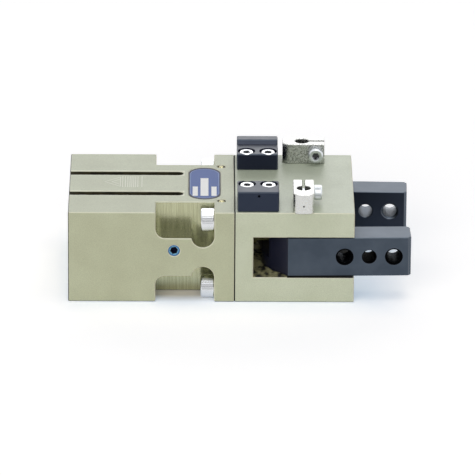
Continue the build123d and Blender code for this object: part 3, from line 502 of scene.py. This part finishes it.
# Jaws. Each is milled from tool steel, hardened, ground on its four sides and black-oxide
# coated. The lever behind the pivot runs oiled in the slot of the fork and holds the drive
# pin. The jaws close at an angle of 1.5 degrees, which their material follows.
PIVOT_X, PIVOT_Y = 79.0, 20.5
CLOSED_ANGLE = np.radians(1.5)
JAW_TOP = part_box("jaw_near")[1].z
JAW_OUTER, JAW_INNER, JAW_TIP_X = 9.0 * MM, 2.2 * MM, 46.1 * MM
LEVER_END_X, FINGER_HOLES_X, HOLE_SINK_RADIUS = 1.05 * MM, (18.4 * MM, 43.2 * MM), 3.4 * MM
BLACK_OXIDE, BLACK_OXIDE_CLOUD, BLACK_OXIDE_EDGE_HIGHLIGHT = "#4F5863", "#464F5A", "#606871"
# Painted shade: the lever in the slot, the near jaw's finger holes and the inner faces.
LEVER_PAINTED_SHADE, NEAR_HOLE_PAINTED_SHADE, INNER_FACE_PAINTED_SHADE = "#171A2C", "#0D0E11", "#2F3540"
GRINDING_LENGTH, OXIDE_CLOUD_WIDTH = 7 * MM, 9 * MM
# Real grinding lines are finer than this, and are drawn coarse to show.
GRINDING_WIDTH = 0.2 * MM


def black_oxide(name, side):
    """Black-oxided steel: a blue-black skin over fine grinding lines along the jaw, a little
    cloudy, with its broken edges painted lighter as a highlight and a little rubbed. It is
    painted dark as shade behind the pivot, on the inner face and, on the near jaw, in the
    finger holes. The side is -1 near and 1 far."""
    material, shader = finish_of(name, BLACK_OXIDE, 1.0, 0.42)
    turn = Matrix.Rotation(side * CLOSED_ANGLE, 3, "Z")
    start = -(turn @ Vector((PIVOT_X, side * PIVOT_Y, 0))) * MM
    place = add(
        material, "Mapping",
        {
            "Vector": add(material, "TexCoord").outputs["Object"],
            "Location": start, "Rotation": Euler((0, 0, side * CLOSED_ANGLE)),
        },
    )
    cloud = add(
        material, "TexNoise", {"Vector": place, "Scale": 1 / OXIDE_CLOUD_WIDTH, "Detail": 4.0},
    )
    thin = 1 / GRINDING_WIDTH
    drawn = add(material, "Mapping", {"Vector": place, "Scale": (1 / GRINDING_LENGTH, thin, thin)})
    lines = add(material, "TexNoise", {"Vector": drawn, "Scale": 1.0, "Detail": 2.0})
    cloudy = add(material, "MapRange", {"Value": cloud, "From Min": 0.35, "From Max": 0.65})
    gloss = add(material, "MapRange", {"Value": lines, "To Min": 0.34, "To Max": 0.48})
    skin = {"Base Color": linear(BLACK_OXIDE), "Metallic": 1.0, "Roughness": gloss}
    skin = lay(material, skin, cloudy, {"Base Color": BLACK_OXIDE_CLOUD})
    low_y, high_y = (-JAW_OUTER, JAW_INNER) if side < 0 else (-JAW_INNER, JAW_OUTER)
    edge = broken_edges(material, place, (-1, low_y, -JAW_TOP), (JAW_TIP_X, high_y, JAW_TOP))
    skin = lay(material, skin, edge, {"Base Color": BLACK_OXIDE_EDGE_HIGHLIGHT})
    inner = -side * JAW_INNER
    inner_shade = inside(material, place, (-1, inner - MARGIN, -1), (1, inner + MARGIN, 1))
    skin = lay(material, skin, inner_shade, {"Base Color": INNER_FACE_PAINTED_SHADE})
    lever = inside(material, place, (-1, -1, -1), (LEVER_END_X, 1, 1))
    skin = lay(material, skin, lever, {"Base Color": LEVER_PAINTED_SHADE, "Metallic": 0.0})
    if side < 0:
        holes = inside(material, place, *region(
            FINGER_HOLES_X, (low_y + UNDER_SKIN, high_y - UNDER_SKIN),
            (-HOLE_SINK_RADIUS, HOLE_SINK_RADIUS),
        ))
        skin = lay(material, skin, holes, {"Base Color": NEAR_HOLE_PAINTED_SHADE, "Roughness": 0.9})
    bump = add(material, "Bump", {"Height": lines, "Strength": 0.2, "Distance": 0.01 * MM})
    feed(shader, {**skin, "Normal": bump})
    return material


dress("jaw_near", black_oxide("black_oxide_steel_near", -1))
dress("jaw_far", black_oxide("black_oxide_steel_far", 1))


# Black blocks. Each is milled from aluminium, lightly blasted and black anodised, and two
# screws in counterbores hold it on the front housing.
# The far block is a shaded copy of the near one: its colour is painted darker, as shade, and its IOR
# differs. The grey edge colour is a painted highlight.
BLACK_ANODISED_LIT_AND_SHADED = {"near": "#10192D", "far": "#060820"}
DYED_OXIDE_IOR = {"near": 1.5, "far": 1.6}
BLACK_ANODISED_EDGE_HIGHLIGHT, DYED_OXIDE_SHEEN = "#39404C", "#D8E6FA"
SHEEN_WIDTH = 5 * MM
# The fine blast's real grain is finer than this, and is drawn coarse to show.
FINE_GRAIN = 0.22 * MM


def black_anodised(name, colour, ior, low, high):
    """Blasted, black-anodised aluminium: satin, nearly even, with a fine grain and edges painted
    grey as a highlight.
    """
    material, shader = finish_of(name, colour, 0.0, 0.36)
    feed(shader, {"IOR": ior, "Specular Tint": linear(DYED_OXIDE_SHEEN)})
    place = add(material, "TexCoord").outputs["Object"]
    grain = add(material, "TexNoise", {"Vector": place, "Scale": 1 / FINE_GRAIN, "Detail": 2.0})
    cloud = add(material, "TexNoise", {"Vector": place, "Scale": 1 / SHEEN_WIDTH, "Detail": 3.0})
    gloss = add(material, "MapRange", {"Value": cloud, "To Min": 0.28, "To Max": 0.44})
    skin = {"Base Color": linear(colour), "Metallic": 0.0, "Roughness": gloss}
    edge = broken_edges(material, place, low, high)
    skin = lay(material, skin, edge, {"Base Color": BLACK_ANODISED_EDGE_HIGHLIGHT})
    bump = add(material, "Bump", {"Height": grain, "Strength": 0.4, "Distance": 0.02 * MM})
    feed(shader, {**skin, "Normal": bump})
    return material


for side, colour in BLACK_ANODISED_LIT_AND_SHADED.items():
    dress(f"block_{side}", black_anodised(
        f"black_anodised_aluminium_{side}", colour, DYED_OXIDE_IOR[side], *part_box(f"block_{side}"),
    ))


# Sensor clamps. Each is cast and milled steel with a bright nickel plate, slit so that its
# screw can pinch a round sensor. A spigot below seats it in the front housing.
# Painted shade: dark inside the slit, and a dark dot for the punched dimple.
NICKEL, SLIT_PAINTED_SHADE, PUNCH_DIMPLE_SHADE = "#DADBD8", "#2B2A28", "#2F2F2E"
CAST_GRAIN = 0.45 * MM
CLAMP_X, CLAMP_Y, CLAMP_HALF_WIDTH = 85.9, 24.3, 3.8
CLAMP_CLOSED, CLAMP_OPEN, CLAMP_HALF_SLIT = 7.2, 8.4, 0.6
PUNCH_Z, PUNCH_RADIUS = 20.6, 0.33


def nickel_plate(name, slit, punch, pitted_colour, depth):
    """Nickel plate over a cast and tumbled surface: bright and grainy, with darker pits of a
    depth in metres. It is painted dark as shade in the slit's box, and a small dimple that a
    punch has left is painted as a dark dot of shade."""
    material, shader = finish_of(name, NICKEL, 1.0, 0.3)
    place = add(material, "TexCoord").outputs["Object"]
    grain = add(material, "TexNoise", {"Vector": place, "Scale": 1 / CAST_GRAIN, "Detail": 3.0})
    gloss = add(
        material, "MapRange",
        {"Value": grain, "From Min": 0.3, "From Max": 0.7, "To Min": 0.16, "To Max": 0.4},
    )
    pitted = add(material, "MapRange", {"Value": grain, "From Min": 0.35, "From Max": 0.6})
    skin = {"Base Color": linear(pitted_colour), "Metallic": 1.0, "Roughness": gloss}
    skin = lay(material, skin, pitted, {"Base Color": NICKEL})
    skin = lay(material, skin, inside(material, place, *slit), {"Base Color": SLIT_PAINTED_SHADE})
    away = add(material, "VectorMath", {0: place, 1: punch}, operation="DISTANCE")
    dimple = add(
        material, "Math", {0: away.outputs["Value"], 1: PUNCH_RADIUS * MM}, operation="LESS_THAN",
    )
    skin = lay(material, skin, dimple, {"Base Color": PUNCH_DIMPLE_SHADE})
    bump = add(material, "Bump", {"Height": grain, "Strength": 1.0, "Distance": depth})
    feed(shader, {**skin, "Normal": bump})
    return material


CLAMP_LOW, CLAMP_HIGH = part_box("sensor_clamp_near")
UNDER_CLAMP_TOP = CLAMP_HIGH.z - UNDER_SKIN
dress("sensor_clamp_near", nickel_plate(
    "nickel_plated_steel_near",
    (
        ((CLAMP_X - CLAMP_HALF_SLIT) * MM, -CLAMP_Y * MM, 0),
        ((CLAMP_X + CLAMP_HALF_SLIT) * MM, (CLAMP_OPEN - CLAMP_Y + 1) * MM, UNDER_CLAMP_TOP),
    ),
    (CLAMP_X * MM, CLAMP_LOW.y, PUNCH_Z * MM), "#C6C7C4", 0.06 * MM,
))
dress("sensor_clamp_far", nickel_plate(
    "nickel_plated_steel_far",
    (
        (CLAMP_X * MM, (CLAMP_Y - CLAMP_HALF_SLIT) * MM, 0),
        ((CLAMP_X + CLAMP_OPEN + 1) * MM, (CLAMP_Y + CLAMP_HALF_SLIT) * MM, UNDER_CLAMP_TOP),
    ),
    ((CLAMP_X - CLAMP_CLOSED) * MM, CLAMP_Y * MM, PUNCH_Z * MM), "#9C9D9C", 0.14 * MM,
))


# Socket cap screws. They are cold-headed steel with a pressed hexagon socket: four M5 join
# the housings from the notches, four M3 hold the blocks and two M3 pinch the clamps.
AROUND, KNURLS, KNURL_DEPTH = 192, 48, 0.06
ABOVE_SEAT, FLAT_TOLERANCE, HAZE_WIDTH = 0.3, 1.02, 1.6 * MM
M5 = {"radius": 2.5, "head": 4.25, "height": 5.0, "hexagon": 4.0, "socket": 2.6}
M3 = {"radius": 1.5, "head": 2.75, "height": 3.0, "hexagon": 2.5, "socket": 1.6}


def screw_points(size, length):
    """A cap screw about the Z axis with its seat at z = 0, as rows of a profile by columns
    round it. A row's radius is a circle's, or inside the socket a hexagon's: its flat
    distance over the cosine of the angle from the nearest flat's middle. A cosine of many
    turns is added to the knurled rows. The first rows climb the screw's end from the axis,
    and the last go down the socket's cone to it."""
    r, head, top = size["radius"], size["head"], size["height"]
    flat = size["hexagon"] / 2
    floor = top - size["socket"]
    lip = flat / np.cos(np.pi / 6) + 0.16
    crest = head - KNURL_DEPTH
    profile = np.array([
        (0.0, -length, 0, 0), (r - 0.5, -length, 0, 0), (r, -length + 0.5, 0, 0),
        (r, -0.25, 0, 0), (r + 0.25, 0.0, 0, 0), (head - 0.2, 0.0, 0, 0), (crest, 0.3, 0, 0),
        (crest, 0.5, 0, 1), (crest, top - 0.6, 0, 1), (crest, top - 0.4, 0, 0),
        (head - 0.2, top - 0.17, 0, 0), (head - 0.45, top, 0, 0), (lip, top, 0, 0),
        (flat, top - 0.14, 1, 0), (flat, floor, 1, 0), (flat - 0.12, floor - 0.05, 1, 0),
        (0.0, floor - flat * 0.45, 1, 0),
    ])
    angle = np.arange(AROUND) * 2 * np.pi / AROUND
    hexagon = 1 / np.cos(np.mod(angle, np.pi / 3) - np.pi / 6)
    radius = profile[:, 0:1] * (1 + profile[:, 2:3] * (hexagon[None] - 1))
    radius = radius + profile[:, 3:4] * KNURL_DEPTH * np.cos(KNURLS * angle)[None]
    height = np.broadcast_to(profile[:, 1:2], radius.shape)
    return np.stack([radius * np.cos(angle), radius * np.sin(angle), height], axis=-1)


def turn_points(points, axis, place, spin=0.0):
    """Turns points from the Z axis to another axis, after a spin about Z, and moves them."""
    quarter = Vector((0, 0, 1)).rotation_difference(Vector(axis)).to_matrix()
    turn = np.array(quarter @ Matrix.Rotation(np.radians(spin), 3, "Z"))
    return points @ turn.T + np.array(place)


def cap_screw(name, size, length, axis, place, spin, material, node):
    """One screw in place, which stands for its solid in a node of the frame. Faces above the
    seat and no farther from the axis than the hexagon's flats get the socket's material,
    painted darker as shade."""
    piece = surface(name, turn_points(screw_points(size, length), axis, place, spin))
    piece.data.materials.append(material)
    piece.data.materials.append(socket_painted_shade)
    faces = piece.data.polygons
    centres = np.empty(len(faces) * 3)
    faces.foreach_get("center", centres)
    centres = centres.reshape(-1, 3) / MM - np.array(place)
    along = centres @ np.array(axis)
    away = np.linalg.norm(centres - along[:, None] * np.array(axis), axis=1)
    in_socket = (along > ABOVE_SEAT) & (away < size["hexagon"] / 2 * FLAT_TOLERANCE)
    faces.foreach_set("material_index", in_socket.astype(np.int32))
    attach(piece, "housing")
    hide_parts(node)


def smooth_plate(name, colour, roughness):
    """A plated cold-headed screw: silvery and smooth, with a faint haze."""
    material, shader = finish_of(name, colour, 1.0, roughness)
    place = add(material, "TexCoord").outputs["Object"]
    haze = add(material, "TexNoise", {"Vector": place, "Scale": 1 / HAZE_WIDTH, "Detail": 3.0})
    gloss = add(
        material, "MapRange",
        {
            "Value": haze, "From Min": 0.3, "From Max": 0.7,
            "To Min": roughness - 0.04, "To Max": roughness + 0.06,
        },
    )
    feed(shader, {"Roughness": gloss})
    return material


zinc_plated_steel = smooth_plate("zinc_plated_steel", "#DCDEE1", 0.15)
# Painted shade: the hexagon sockets are coloured dark grey.
socket_painted_shade = smooth_plate("plated_steel_socket_shaded", "#5B5C5F", 0.4)
nickel_screw_steel = smooth_plate("nickel_plated_screw_steel", "#E6EAEE", 0.34)
for node in ("piston_screw", "pivot_screws"):
    dress(node, zinc_plated_steel)
HOUSING_SCREW_Y, HOUSING_SCREW_Z, HOUSING_SCREW_LENGTH = 25.4, 12.95, 18.0
for index, (side, level) in enumerate([(-1, -1), (-1, 1), (1, -1), (1, 1)]):
    cap_screw(
        f"housing_screw_{index + 1}", M5, HOUSING_SCREW_LENGTH, (-1, 0, 0),
        (flange_x / MM, side * HOUSING_SCREW_Y, level * HOUSING_SCREW_Z), 17 * index,
        zinc_plated_steel, "housing_screws",
    )
BLOCK_SCREW_X, BLOCK_SCREW_PITCH, BLOCK_SCREW_Y, BLOCK_SCREW_LENGTH = 65.3, 8.0, 16.9, 10.0
BLOCK_SEAT_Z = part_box("block_screws")[1].z / MM - M3["height"]
for index in range(4):
    side, row = (-1, 1)[index // 2], index % 2
    cap_screw(
        f"block_screw_{index + 1}", M3, BLOCK_SCREW_LENGTH, (0, 0, 1),
        (BLOCK_SCREW_X + row * BLOCK_SCREW_PITCH, side * BLOCK_SCREW_Y, BLOCK_SEAT_Z),
        8 + 23 * index, zinc_plated_steel, "block_screws",
    )
CLAMP_SCREW_OFFSET, CLAMP_SCREW_Z, CLAMP_SCREW_LENGTH = 5.1, 21.5, 6.0
cap_screw(
    "clamp_screw_near", M3, CLAMP_SCREW_LENGTH, (1, 0, 0),
    (CLAMP_X + CLAMP_HALF_WIDTH, -CLAMP_Y + CLAMP_SCREW_OFFSET, CLAMP_SCREW_Z), 12,
    nickel_screw_steel, "clamp_screws",
)
cap_screw(
    "clamp_screw_far", M3, CLAMP_SCREW_LENGTH, (0, -1, 0),
    (CLAMP_X + CLAMP_SCREW_OFFSET, CLAMP_Y - CLAMP_HALF_WIDTH, CLAMP_SCREW_Z), 0,
    nickel_screw_steel, "clamp_screws",
)


# Threads. They are tapped after the anodising or the black oxide, so their flanks are bare
# metal: M6 in the jaws, M5 in the rear face and in the air ports.
THREAD_STEPS = 20


def thread_points(radius, pitch, length, depth):
    """A helical ridge inside a bore along Z from z = 0. A row is one step of the helix: its
    angle grows evenly, and its height is the pitch times the turns so far. Across the row
    lie the ridge's foot, its crest and its other foot, and the section shrinks to a point
    over the last half turn at each end."""
    turns = length / pitch
    turn = np.linspace(0.0, turns, int(turns * THREAD_STEPS) + 1)
    angle = turn * 2 * np.pi
    taper = np.clip(np.minimum(turn, turns - turn) * 2, 0, 1)[:, None]
    inward = np.array([-0.04, depth, depth, -0.04, -0.08])
    along = np.array([-0.42, -0.07, 0.07, 0.42, 0.0]) * pitch
    r = radius - inward[None] * taper
    z = np.clip((turn * pitch)[:, None] + along[None] * taper, 0, length)
    return np.stack([r * np.cos(angle)[:, None], r * np.sin(angle)[:, None], z], axis=-1)


def thread(name, size, axis, start, body, material):
    """One tapped thread along an axis from its start, on the body that it is cut in."""
    piece = surface(name, turn_points(thread_points(*size), axis, start))
    piece.data.materials.append(material)
    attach(piece, body)


TAP_STREAK = 0.3 * MM
# The near jaw's threads are painted dark as shade, where the far jaw and the fork keep light out;
# the far jaw's are light.
tapped_steel = {
    "near": ground("shaded_tapped_steel", "#3C4046", 0.4, TAP_STREAK),
    "far": ground("tapped_steel", "#B0B4B9", 0.35, TAP_STREAK),
}
tapped_aluminium = ground("tapped_aluminium", "#B9B9A6", 0.35, TAP_STREAK)
FINGER_THREADS_X = {"rear": 21.8, "tip": 39.8}
FINGER_SINK, FINGER_THREAD = 0.9, (2.6, 1.0, 9.4, 0.16)
for side, word in ((-1, "near"), (1, "far")):
    turn = Matrix.Rotation(-side * CLOSED_ANGLE, 3, "Z")
    pivot = Vector((PIVOT_X, side * PIVOT_Y, 0))
    for hole, hole_x in FINGER_THREADS_X.items():
        mouth = Vector((hole_x, side * (JAW_OUTER / MM - FINGER_SINK), 0))
        thread(
            f"finger_thread_{word}_{hole}", FINGER_THREAD, turn @ Vector((0, -side, 0)),
            pivot + turn @ mouth, f"{word}_jaw", tapped_steel[word],
        )
REAR_THREAD_START, REAR_THREAD = 0.4, (2.1, 0.8, 9.4, 0.13)
REAR_THREAD_Y, REAR_THREAD_Z = 20.0, 10.0
for index, (side, level) in enumerate([(-1, -1), (-1, 1), (1, -1), (1, 1)]):
    thread(
        f"rear_thread_{index + 1}", REAR_THREAD, (1, 0, 0),
        (REAR_THREAD_START, side * REAR_THREAD_Y, level * REAR_THREAD_Z), "housing",
        tapped_aluminium,
    )
PORT_MOUTH, PORT_THREAD = 0.4, (2.15, 0.8, 7.0, 0.13)
for mount in frame["record"]["mounts"]:
    if mount["name"].startswith("air_port"):
        place = Vector(mount["pos_m"]) / MM
        thread(
            f"{mount['name']}_thread", PORT_THREAD, (0, -1, 0),
            (place.x, REAR_HIGH.y / MM - PORT_MOUTH, place.z), "housing", tapped_aluminium,
        )


# Set screw in the near air port. It is a cup-point M5 set screw, turned in with a blue
# thread sealant that wells up round its face and into its hexagon.
PLUG_LOW, PLUG_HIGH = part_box("port_plug")
PLUG_RADIUS, PLUG_HEXAGON, PLUG_SOCKET, PLUG_LENGTH = 2.12, 2.5, 2.0, 5.0
CUP_RADIUS, POINT_LENGTH, CONE_DEPTH = 1.2, 0.8, 0.6
BEAD_RADIUS, BEAD_RISE, BEAD_SINK = 0.28, 0.16, 0.1
# Painted shade: the colour down the hexagon socket.
SEALANT, THIN_SEALANT, SOCKET_PAINTED_SHADE = "#2F6EB0", "#77B4D4", "#0A0D26"
PATCH_WIDTH, PATCH_REACH, BEAD_STARTS, BEAD_FULL = 0.8 * MM, 0.9 * MM, 1.95 * MM, 2.25 * MM
SOCKET_SHADE_STARTS, SOCKET_SHADE_FULL = 0.16 * MM, 0.3 * MM


def set_screw_points():
    """The set screw about the Z axis, face at z = 0 and point below it. Its rows go from the
    cup point up the shank, over a rounded bead of sealant at the rim, in over a slightly
    dished face and down the hexagon socket to a drilled cone."""
    r, flat, floor = PLUG_RADIUS, PLUG_HEXAGON / 2, -PLUG_SOCKET
    bead = np.radians(np.linspace(0, 180, 7))
    rim = np.stack(
        [r + BEAD_RADIUS * (np.cos(bead) - 1), BEAD_RISE * np.sin(bead) - BEAD_SINK, 0 * bead],
        axis=-1,
    )
    cup = POINT_LENGTH - PLUG_LENGTH
    profile = np.vstack([
        [(0.0, cup, 0), (CUP_RADIUS, -PLUG_LENGTH, 0), (r, cup, 0)],
        rim,
        [(flat * 1.2, -0.14, 1), (flat, -0.24, 1), (flat, floor, 1), (0.0, floor - CONE_DEPTH, 1)],
    ])
    angle = np.arange(AROUND) * 2 * np.pi / AROUND
    hexagon = 1 / np.cos(np.mod(angle, np.pi / 3) - np.pi / 6)
    radius = profile[:, 0:1] * (1 + profile[:, 2:3] * (hexagon[None] - 1))
    height = np.broadcast_to(profile[:, 1:2], radius.shape)
    return np.stack([radius * np.cos(angle), radius * np.sin(angle), height], axis=-1)


def blue_sealant(name, centre):
    """Blue thread sealant: glossy and deep at the rim, paler in patches where it is thin on
    the face, and painted near black down the socket as shade."""
    material, shader = finish_of(name, SEALANT, 0.0, 0.28)
    place = add(material, "TexCoord").outputs["Object"]
    local = add(material, "VectorMath", {0: place, 1: tuple(centre)}, operation="SUBTRACT")
    radial = add(material, "VectorMath", {0: local, 1: (1.0, 0.0, 1.0)}, operation="MULTIPLY")
    away = add(material, "VectorMath", {0: radial}, operation="LENGTH").outputs["Value"]
    patches = add(material, "TexNoise", {"Vector": place, "Scale": 1 / PATCH_WIDTH, "Detail": 3.0})
    ragged = add(
        material, "Math", {0: patches, 1: PATCH_REACH, 2: away}, operation="MULTIPLY_ADD",
    )
    rim = add(
        material, "MapRange", {"Value": ragged, "From Min": BEAD_STARTS, "From Max": BEAD_FULL},
    )
    skin = {"Base Color": linear(THIN_SEALANT), "Roughness": 0.28}
    skin = lay(material, skin, rim, {"Base Color": SEALANT})
    depth = add(material, "SeparateXYZ", {0: local}).outputs[1]
    deep = add(
        material, "MapRange",
        {"Value": depth, "From Min": SOCKET_SHADE_STARTS, "From Max": SOCKET_SHADE_FULL},
    )
    skin = lay(material, skin, deep, {"Base Color": SOCKET_PAINTED_SHADE, "Roughness": 0.9})
    feed(shader, skin)
    return material


plug_face = (PLUG_LOW + PLUG_HIGH) / 2
plug_face.y = PLUG_LOW.y
plug = surface("port_set_screw", turn_points(set_screw_points(), (0, -1, 0), plug_face / MM, 10))
plug.data.materials.append(blue_sealant("blue_sealed_set_screw", plug_face))
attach(plug, "housing")
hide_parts("port_plug")


# Label plate. It is thin aluminium, printed blue with a fine pale line round its edge and
# three blank pale fields, and glued into a shallow recess of the rear housing.
LABEL_LOW, LABEL_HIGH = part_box("label_plate")
# The navy rim is painted shadow of the recess's wall, wider at the plate's ends.
PRINT_BLUE, RECESS_SHADOW_NAVY, LINE_PALE, FIELD_WHITE = "#3D5A9B", "#161D3A", "#7F94C4", "#FFFFFF"
RECESS_SHADOW_WIDTH, LINE_INSET, LINE_HALF_WIDTH = 0.4 * MM, 0.6 * MM, 0.12 * MM
END_SHADOW_EXTRA = 0.8 * MM
LABEL_FIELDS = (
    ((45.4, -12.6), (47.3, -3.2)), ((48.3, -12.6), (51.2, 5.4)), ((52.3, -12.6), (54.2, -3.2)),
)


def printed_label(name):
    """Blue screen print on aluminium, matt, with a pale line near its edge and, outside it, a
    navy rim that is painted shadow of the recess's wall. The way in from the edge is the
    plate's half length along X less the way from the plate's middle line to the point, so
    the line follows the rounded outline. The middle line is a little short, which makes the
    painted shadow wider at the plate's ends."""
    material, shader = finish_of(name, PRINT_BLUE, 0.0, 0.5)
    feed(shader, {"Specular IOR Level": 0.35})
    centre = (LABEL_LOW + LABEL_HIGH) / 2
    radius = (LABEL_HIGH.x - LABEL_LOW.x) / 2
    spine = (LABEL_HIGH.y - LABEL_LOW.y) / 2 - radius - END_SHADOW_EXTRA
    place = add(material, "TexCoord").outputs["Object"]
    local = add(material, "VectorMath", {0: place, 1: tuple(centre)}, operation="SUBTRACT")
    parts = add(material, "SeparateXYZ", {0: local})
    long_way = add(material, "Math", {0: parts.outputs[1]}, operation="ABSOLUTE")
    past = add(material, "Math", {0: long_way, 1: spine}, operation="SUBTRACT")
    past = add(material, "Math", {0: past, 1: 0.0}, operation="MAXIMUM")
    flat = add(material, "CombineXYZ", {0: parts, 1: past})
    away = add(material, "VectorMath", {0: flat}, operation="LENGTH").outputs["Value"]
    inset = add(material, "Math", {0: radius, 1: away}, operation="SUBTRACT")
    rim = add(material, "Math", {0: inset, 1: RECESS_SHADOW_WIDTH}, operation="LESS_THAN")
    line = add(
        material, "Math", {0: inset, 1: LINE_INSET, 2: LINE_HALF_WIDTH}, operation="COMPARE",
    )
    skin = {"Base Color": linear(PRINT_BLUE)}
    skin = lay(material, skin, rim, {"Base Color": RECESS_SHADOW_NAVY})
    skin = lay(material, skin, line, {"Base Color": LINE_PALE})
    for (x0, y0), (x1, y1) in LABEL_FIELDS:
        field = inside(material, place, (x0 * MM, y0 * MM, 0), (x1 * MM, y1 * MM, 1))
        skin = lay(material, skin, field, {"Base Color": FIELD_WHITE})
    feed(shader, skin)
    return material


dress("label_plate", printed_label("blue_printed_aluminium"))


# Studio. The gripper lies on white paper under soft light, seen by a long lens from a little
# above its near side. The room behind the camera is unlit, so bright screws have a dark band,
# and the paper's own shine, which whitens the background, is painted bluer round the gripper
# and fades out under it, as a painted shadow.
FLOOR_Z, FLOOR_HALF = REAR_LOW.z, 6.0
PAPER, PAPER_SHINE, SHADED_SHINE = "#FFF3E2", "#A8B3C2", "#8CA2BA"
SHADE_FROM_X, SHADE_TO_X, SHADE_REACH, SHINE_FADE = 8 * MM, 111 * MM, 14 * MM, 7 * MM
UNLIT_ROOM = ((-0.8, -1.1, 0.16), (0.8, -0.5, 0.58))
ROOM_EDGE, ROOM_LEVEL, FILL_LEVEL = 0.08, 0.05, 0.12


def seen_rays(owner):
    """One for the rays that come from the camera, a gloss or a clear body, and zero for light."""
    rays = add(owner, "LightPath")
    seen = add(
        owner, "Math", {0: rays.outputs["Is Camera Ray"], 1: rays.outputs["Is Glossy Ray"]},
        operation="MAXIMUM",
    )
    return add(
        owner, "Math", {0: seen, 1: rays.outputs["Is Transmission Ray"]}, operation="MAXIMUM",
    )


paper, paper_shader = finish_of("white_paper", PAPER, 0.0, 1.0)
paper_place = add(paper, "TexCoord").outputs["Object"]
# Painted shadow: the paper's shine is bluer near the gripper and fades out under it.
under = depth_in(
    paper, paper_place, (REAR_LOW.x, REAR_LOW.y, -1), (FRONT_HIGH.x, REAR_HIGH.y, 1),
)
around = depth_in(
    paper, paper_place, (SHADE_FROM_X, REAR_LOW.y, -1), (SHADE_TO_X, REAR_HIGH.y, 1),
)
shade = add(paper, "MapRange", {"Value": around, "From Min": -SHADE_REACH, "From Max": 0.0})
shine = add(
    paper, "Mix", {0: shade, 6: linear(PAPER_SHINE), 7: linear(SHADED_SHINE)}, data_type="RGBA",
).outputs[2]
fade = add(
    paper, "MapRange", {"Value": under, "From Max": SHINE_FADE, "To Min": 1.0, "To Max": 0.1},
)
strength = add(paper, "Math", {0: seen_rays(paper), 1: fade}, operation="MULTIPLY")
feed(paper_shader, {
    "Specular IOR Level": 0.0, "Emission Color": shine, "Emission Strength": strength,
})
corners = np.array([(-1, -1), (1, -1), (1, 1), (-1, 1)]) * FLOOR_HALF
floor_mesh = bpy.data.meshes.new("floor")
floor_mesh.from_pydata([(x, y, FLOOR_Z) for x, y in corners.tolist()], [], [(0, 1, 2, 3)])
floor_mesh.materials.append(paper)
floor = bpy.data.objects.new("floor", floor_mesh)
bpy.context.scene.collection.objects.link(floor)

world = bpy.data.worlds.new("studio")
bpy.context.scene.world = world
world.use_nodes = True
towards = add(world, "TexCoord").outputs["Generated"]
room = depth_in(world, towards, *UNLIT_ROOM)
seen_level = add(
    world, "MapRange", {"Value": room, "From Max": ROOM_EDGE, "To Min": 1.0, "To Max": ROOM_LEVEL},
)
level = add(world, "Mix", {0: seen_rays(world), 2: FILL_LEVEL, 3: seen_level})
feed(world.node_tree.nodes["Background"], {"Color": linear("#FFFFFF"), "Strength": level})


def softbox(name, azimuth, elevation, distance, size, brightness):
    """A lamp of a width and height in metres, which faces the gripper's middle. Its direction
    is in degrees, from the camera's side round to the right, and its brightness is that of
    the lit cloth, where one is white."""
    data = bpy.data.lights.new(name, "AREA")
    data.shape = "RECTANGLE"
    data.size, data.size_y = size
    data.energy = brightness * np.pi * size[0] * size[1]
    lamp = bpy.data.objects.new(name, data)
    middle = Vector(((REAR_LOW.x + FRONT_HIGH.x) / 2, 0, 0))
    turn, rise = np.radians([azimuth, elevation])
    facing = Vector((np.sin(turn) * np.cos(rise), -np.cos(turn) * np.cos(rise), np.sin(rise)))
    place = Matrix.Translation(middle + distance * facing)
    lamp.matrix_world = place @ facing.to_track_quat("Z", "Y").to_matrix().to_4x4()
    bpy.context.scene.collection.objects.link(lamp)
    return lamp


front_softbox = softbox("front_softbox", -15, 22, 2.8, (3.0, 2.2), 2.45)
front_softbox.visible_glossy = False
softbox("back_softbox", 180, 26, 2.0, (2.6, 1.1), 1.3)
softbox("top_softbox", 60, 80, 1.8, (1.2, 1.2), 1.9)

AZIMUTH, ELEVATION, ROLL = np.radians([-0.446, 21.571, 0.405])
TARGET = np.array([0.06206, 0.0, -0.00398])
DISTANCE = 2.237
FOCAL_PIXELS, IMAGE_WIDTH, SENSOR_WIDTH = 6048, 475, 36.0
ahead = np.array([
    -np.sin(AZIMUTH) * np.cos(ELEVATION), np.cos(AZIMUTH) * np.cos(ELEVATION), -np.sin(ELEVATION),
])
right = np.cross(ahead, (0, 0, 1))
right /= np.linalg.norm(right)
up = np.cross(right, ahead)
rolled = np.cos(ROLL) * right + np.sin(ROLL) * up
upright = np.cos(ROLL) * up - np.sin(ROLL) * right
camera_data = bpy.data.cameras.new("camera")
camera_data.lens = FOCAL_PIXELS / IMAGE_WIDTH * SENSOR_WIDTH
camera_data.sensor_width = SENSOR_WIDTH
camera_data.clip_end = 20.0
camera = bpy.data.objects.new("camera", camera_data)
pose = np.eye(4)
pose[:3, 0], pose[:3, 1], pose[:3, 2] = rolled, upright, -ahead
pose[:3, 3] = TARGET - DISTANCE * ahead
camera.matrix_world = Matrix(pose.tolist())
bpy.context.scene.collection.objects.link(camera)
bpy.context.scene.camera = camera
bpy.context.scene.view_settings.view_transform = "Standard"
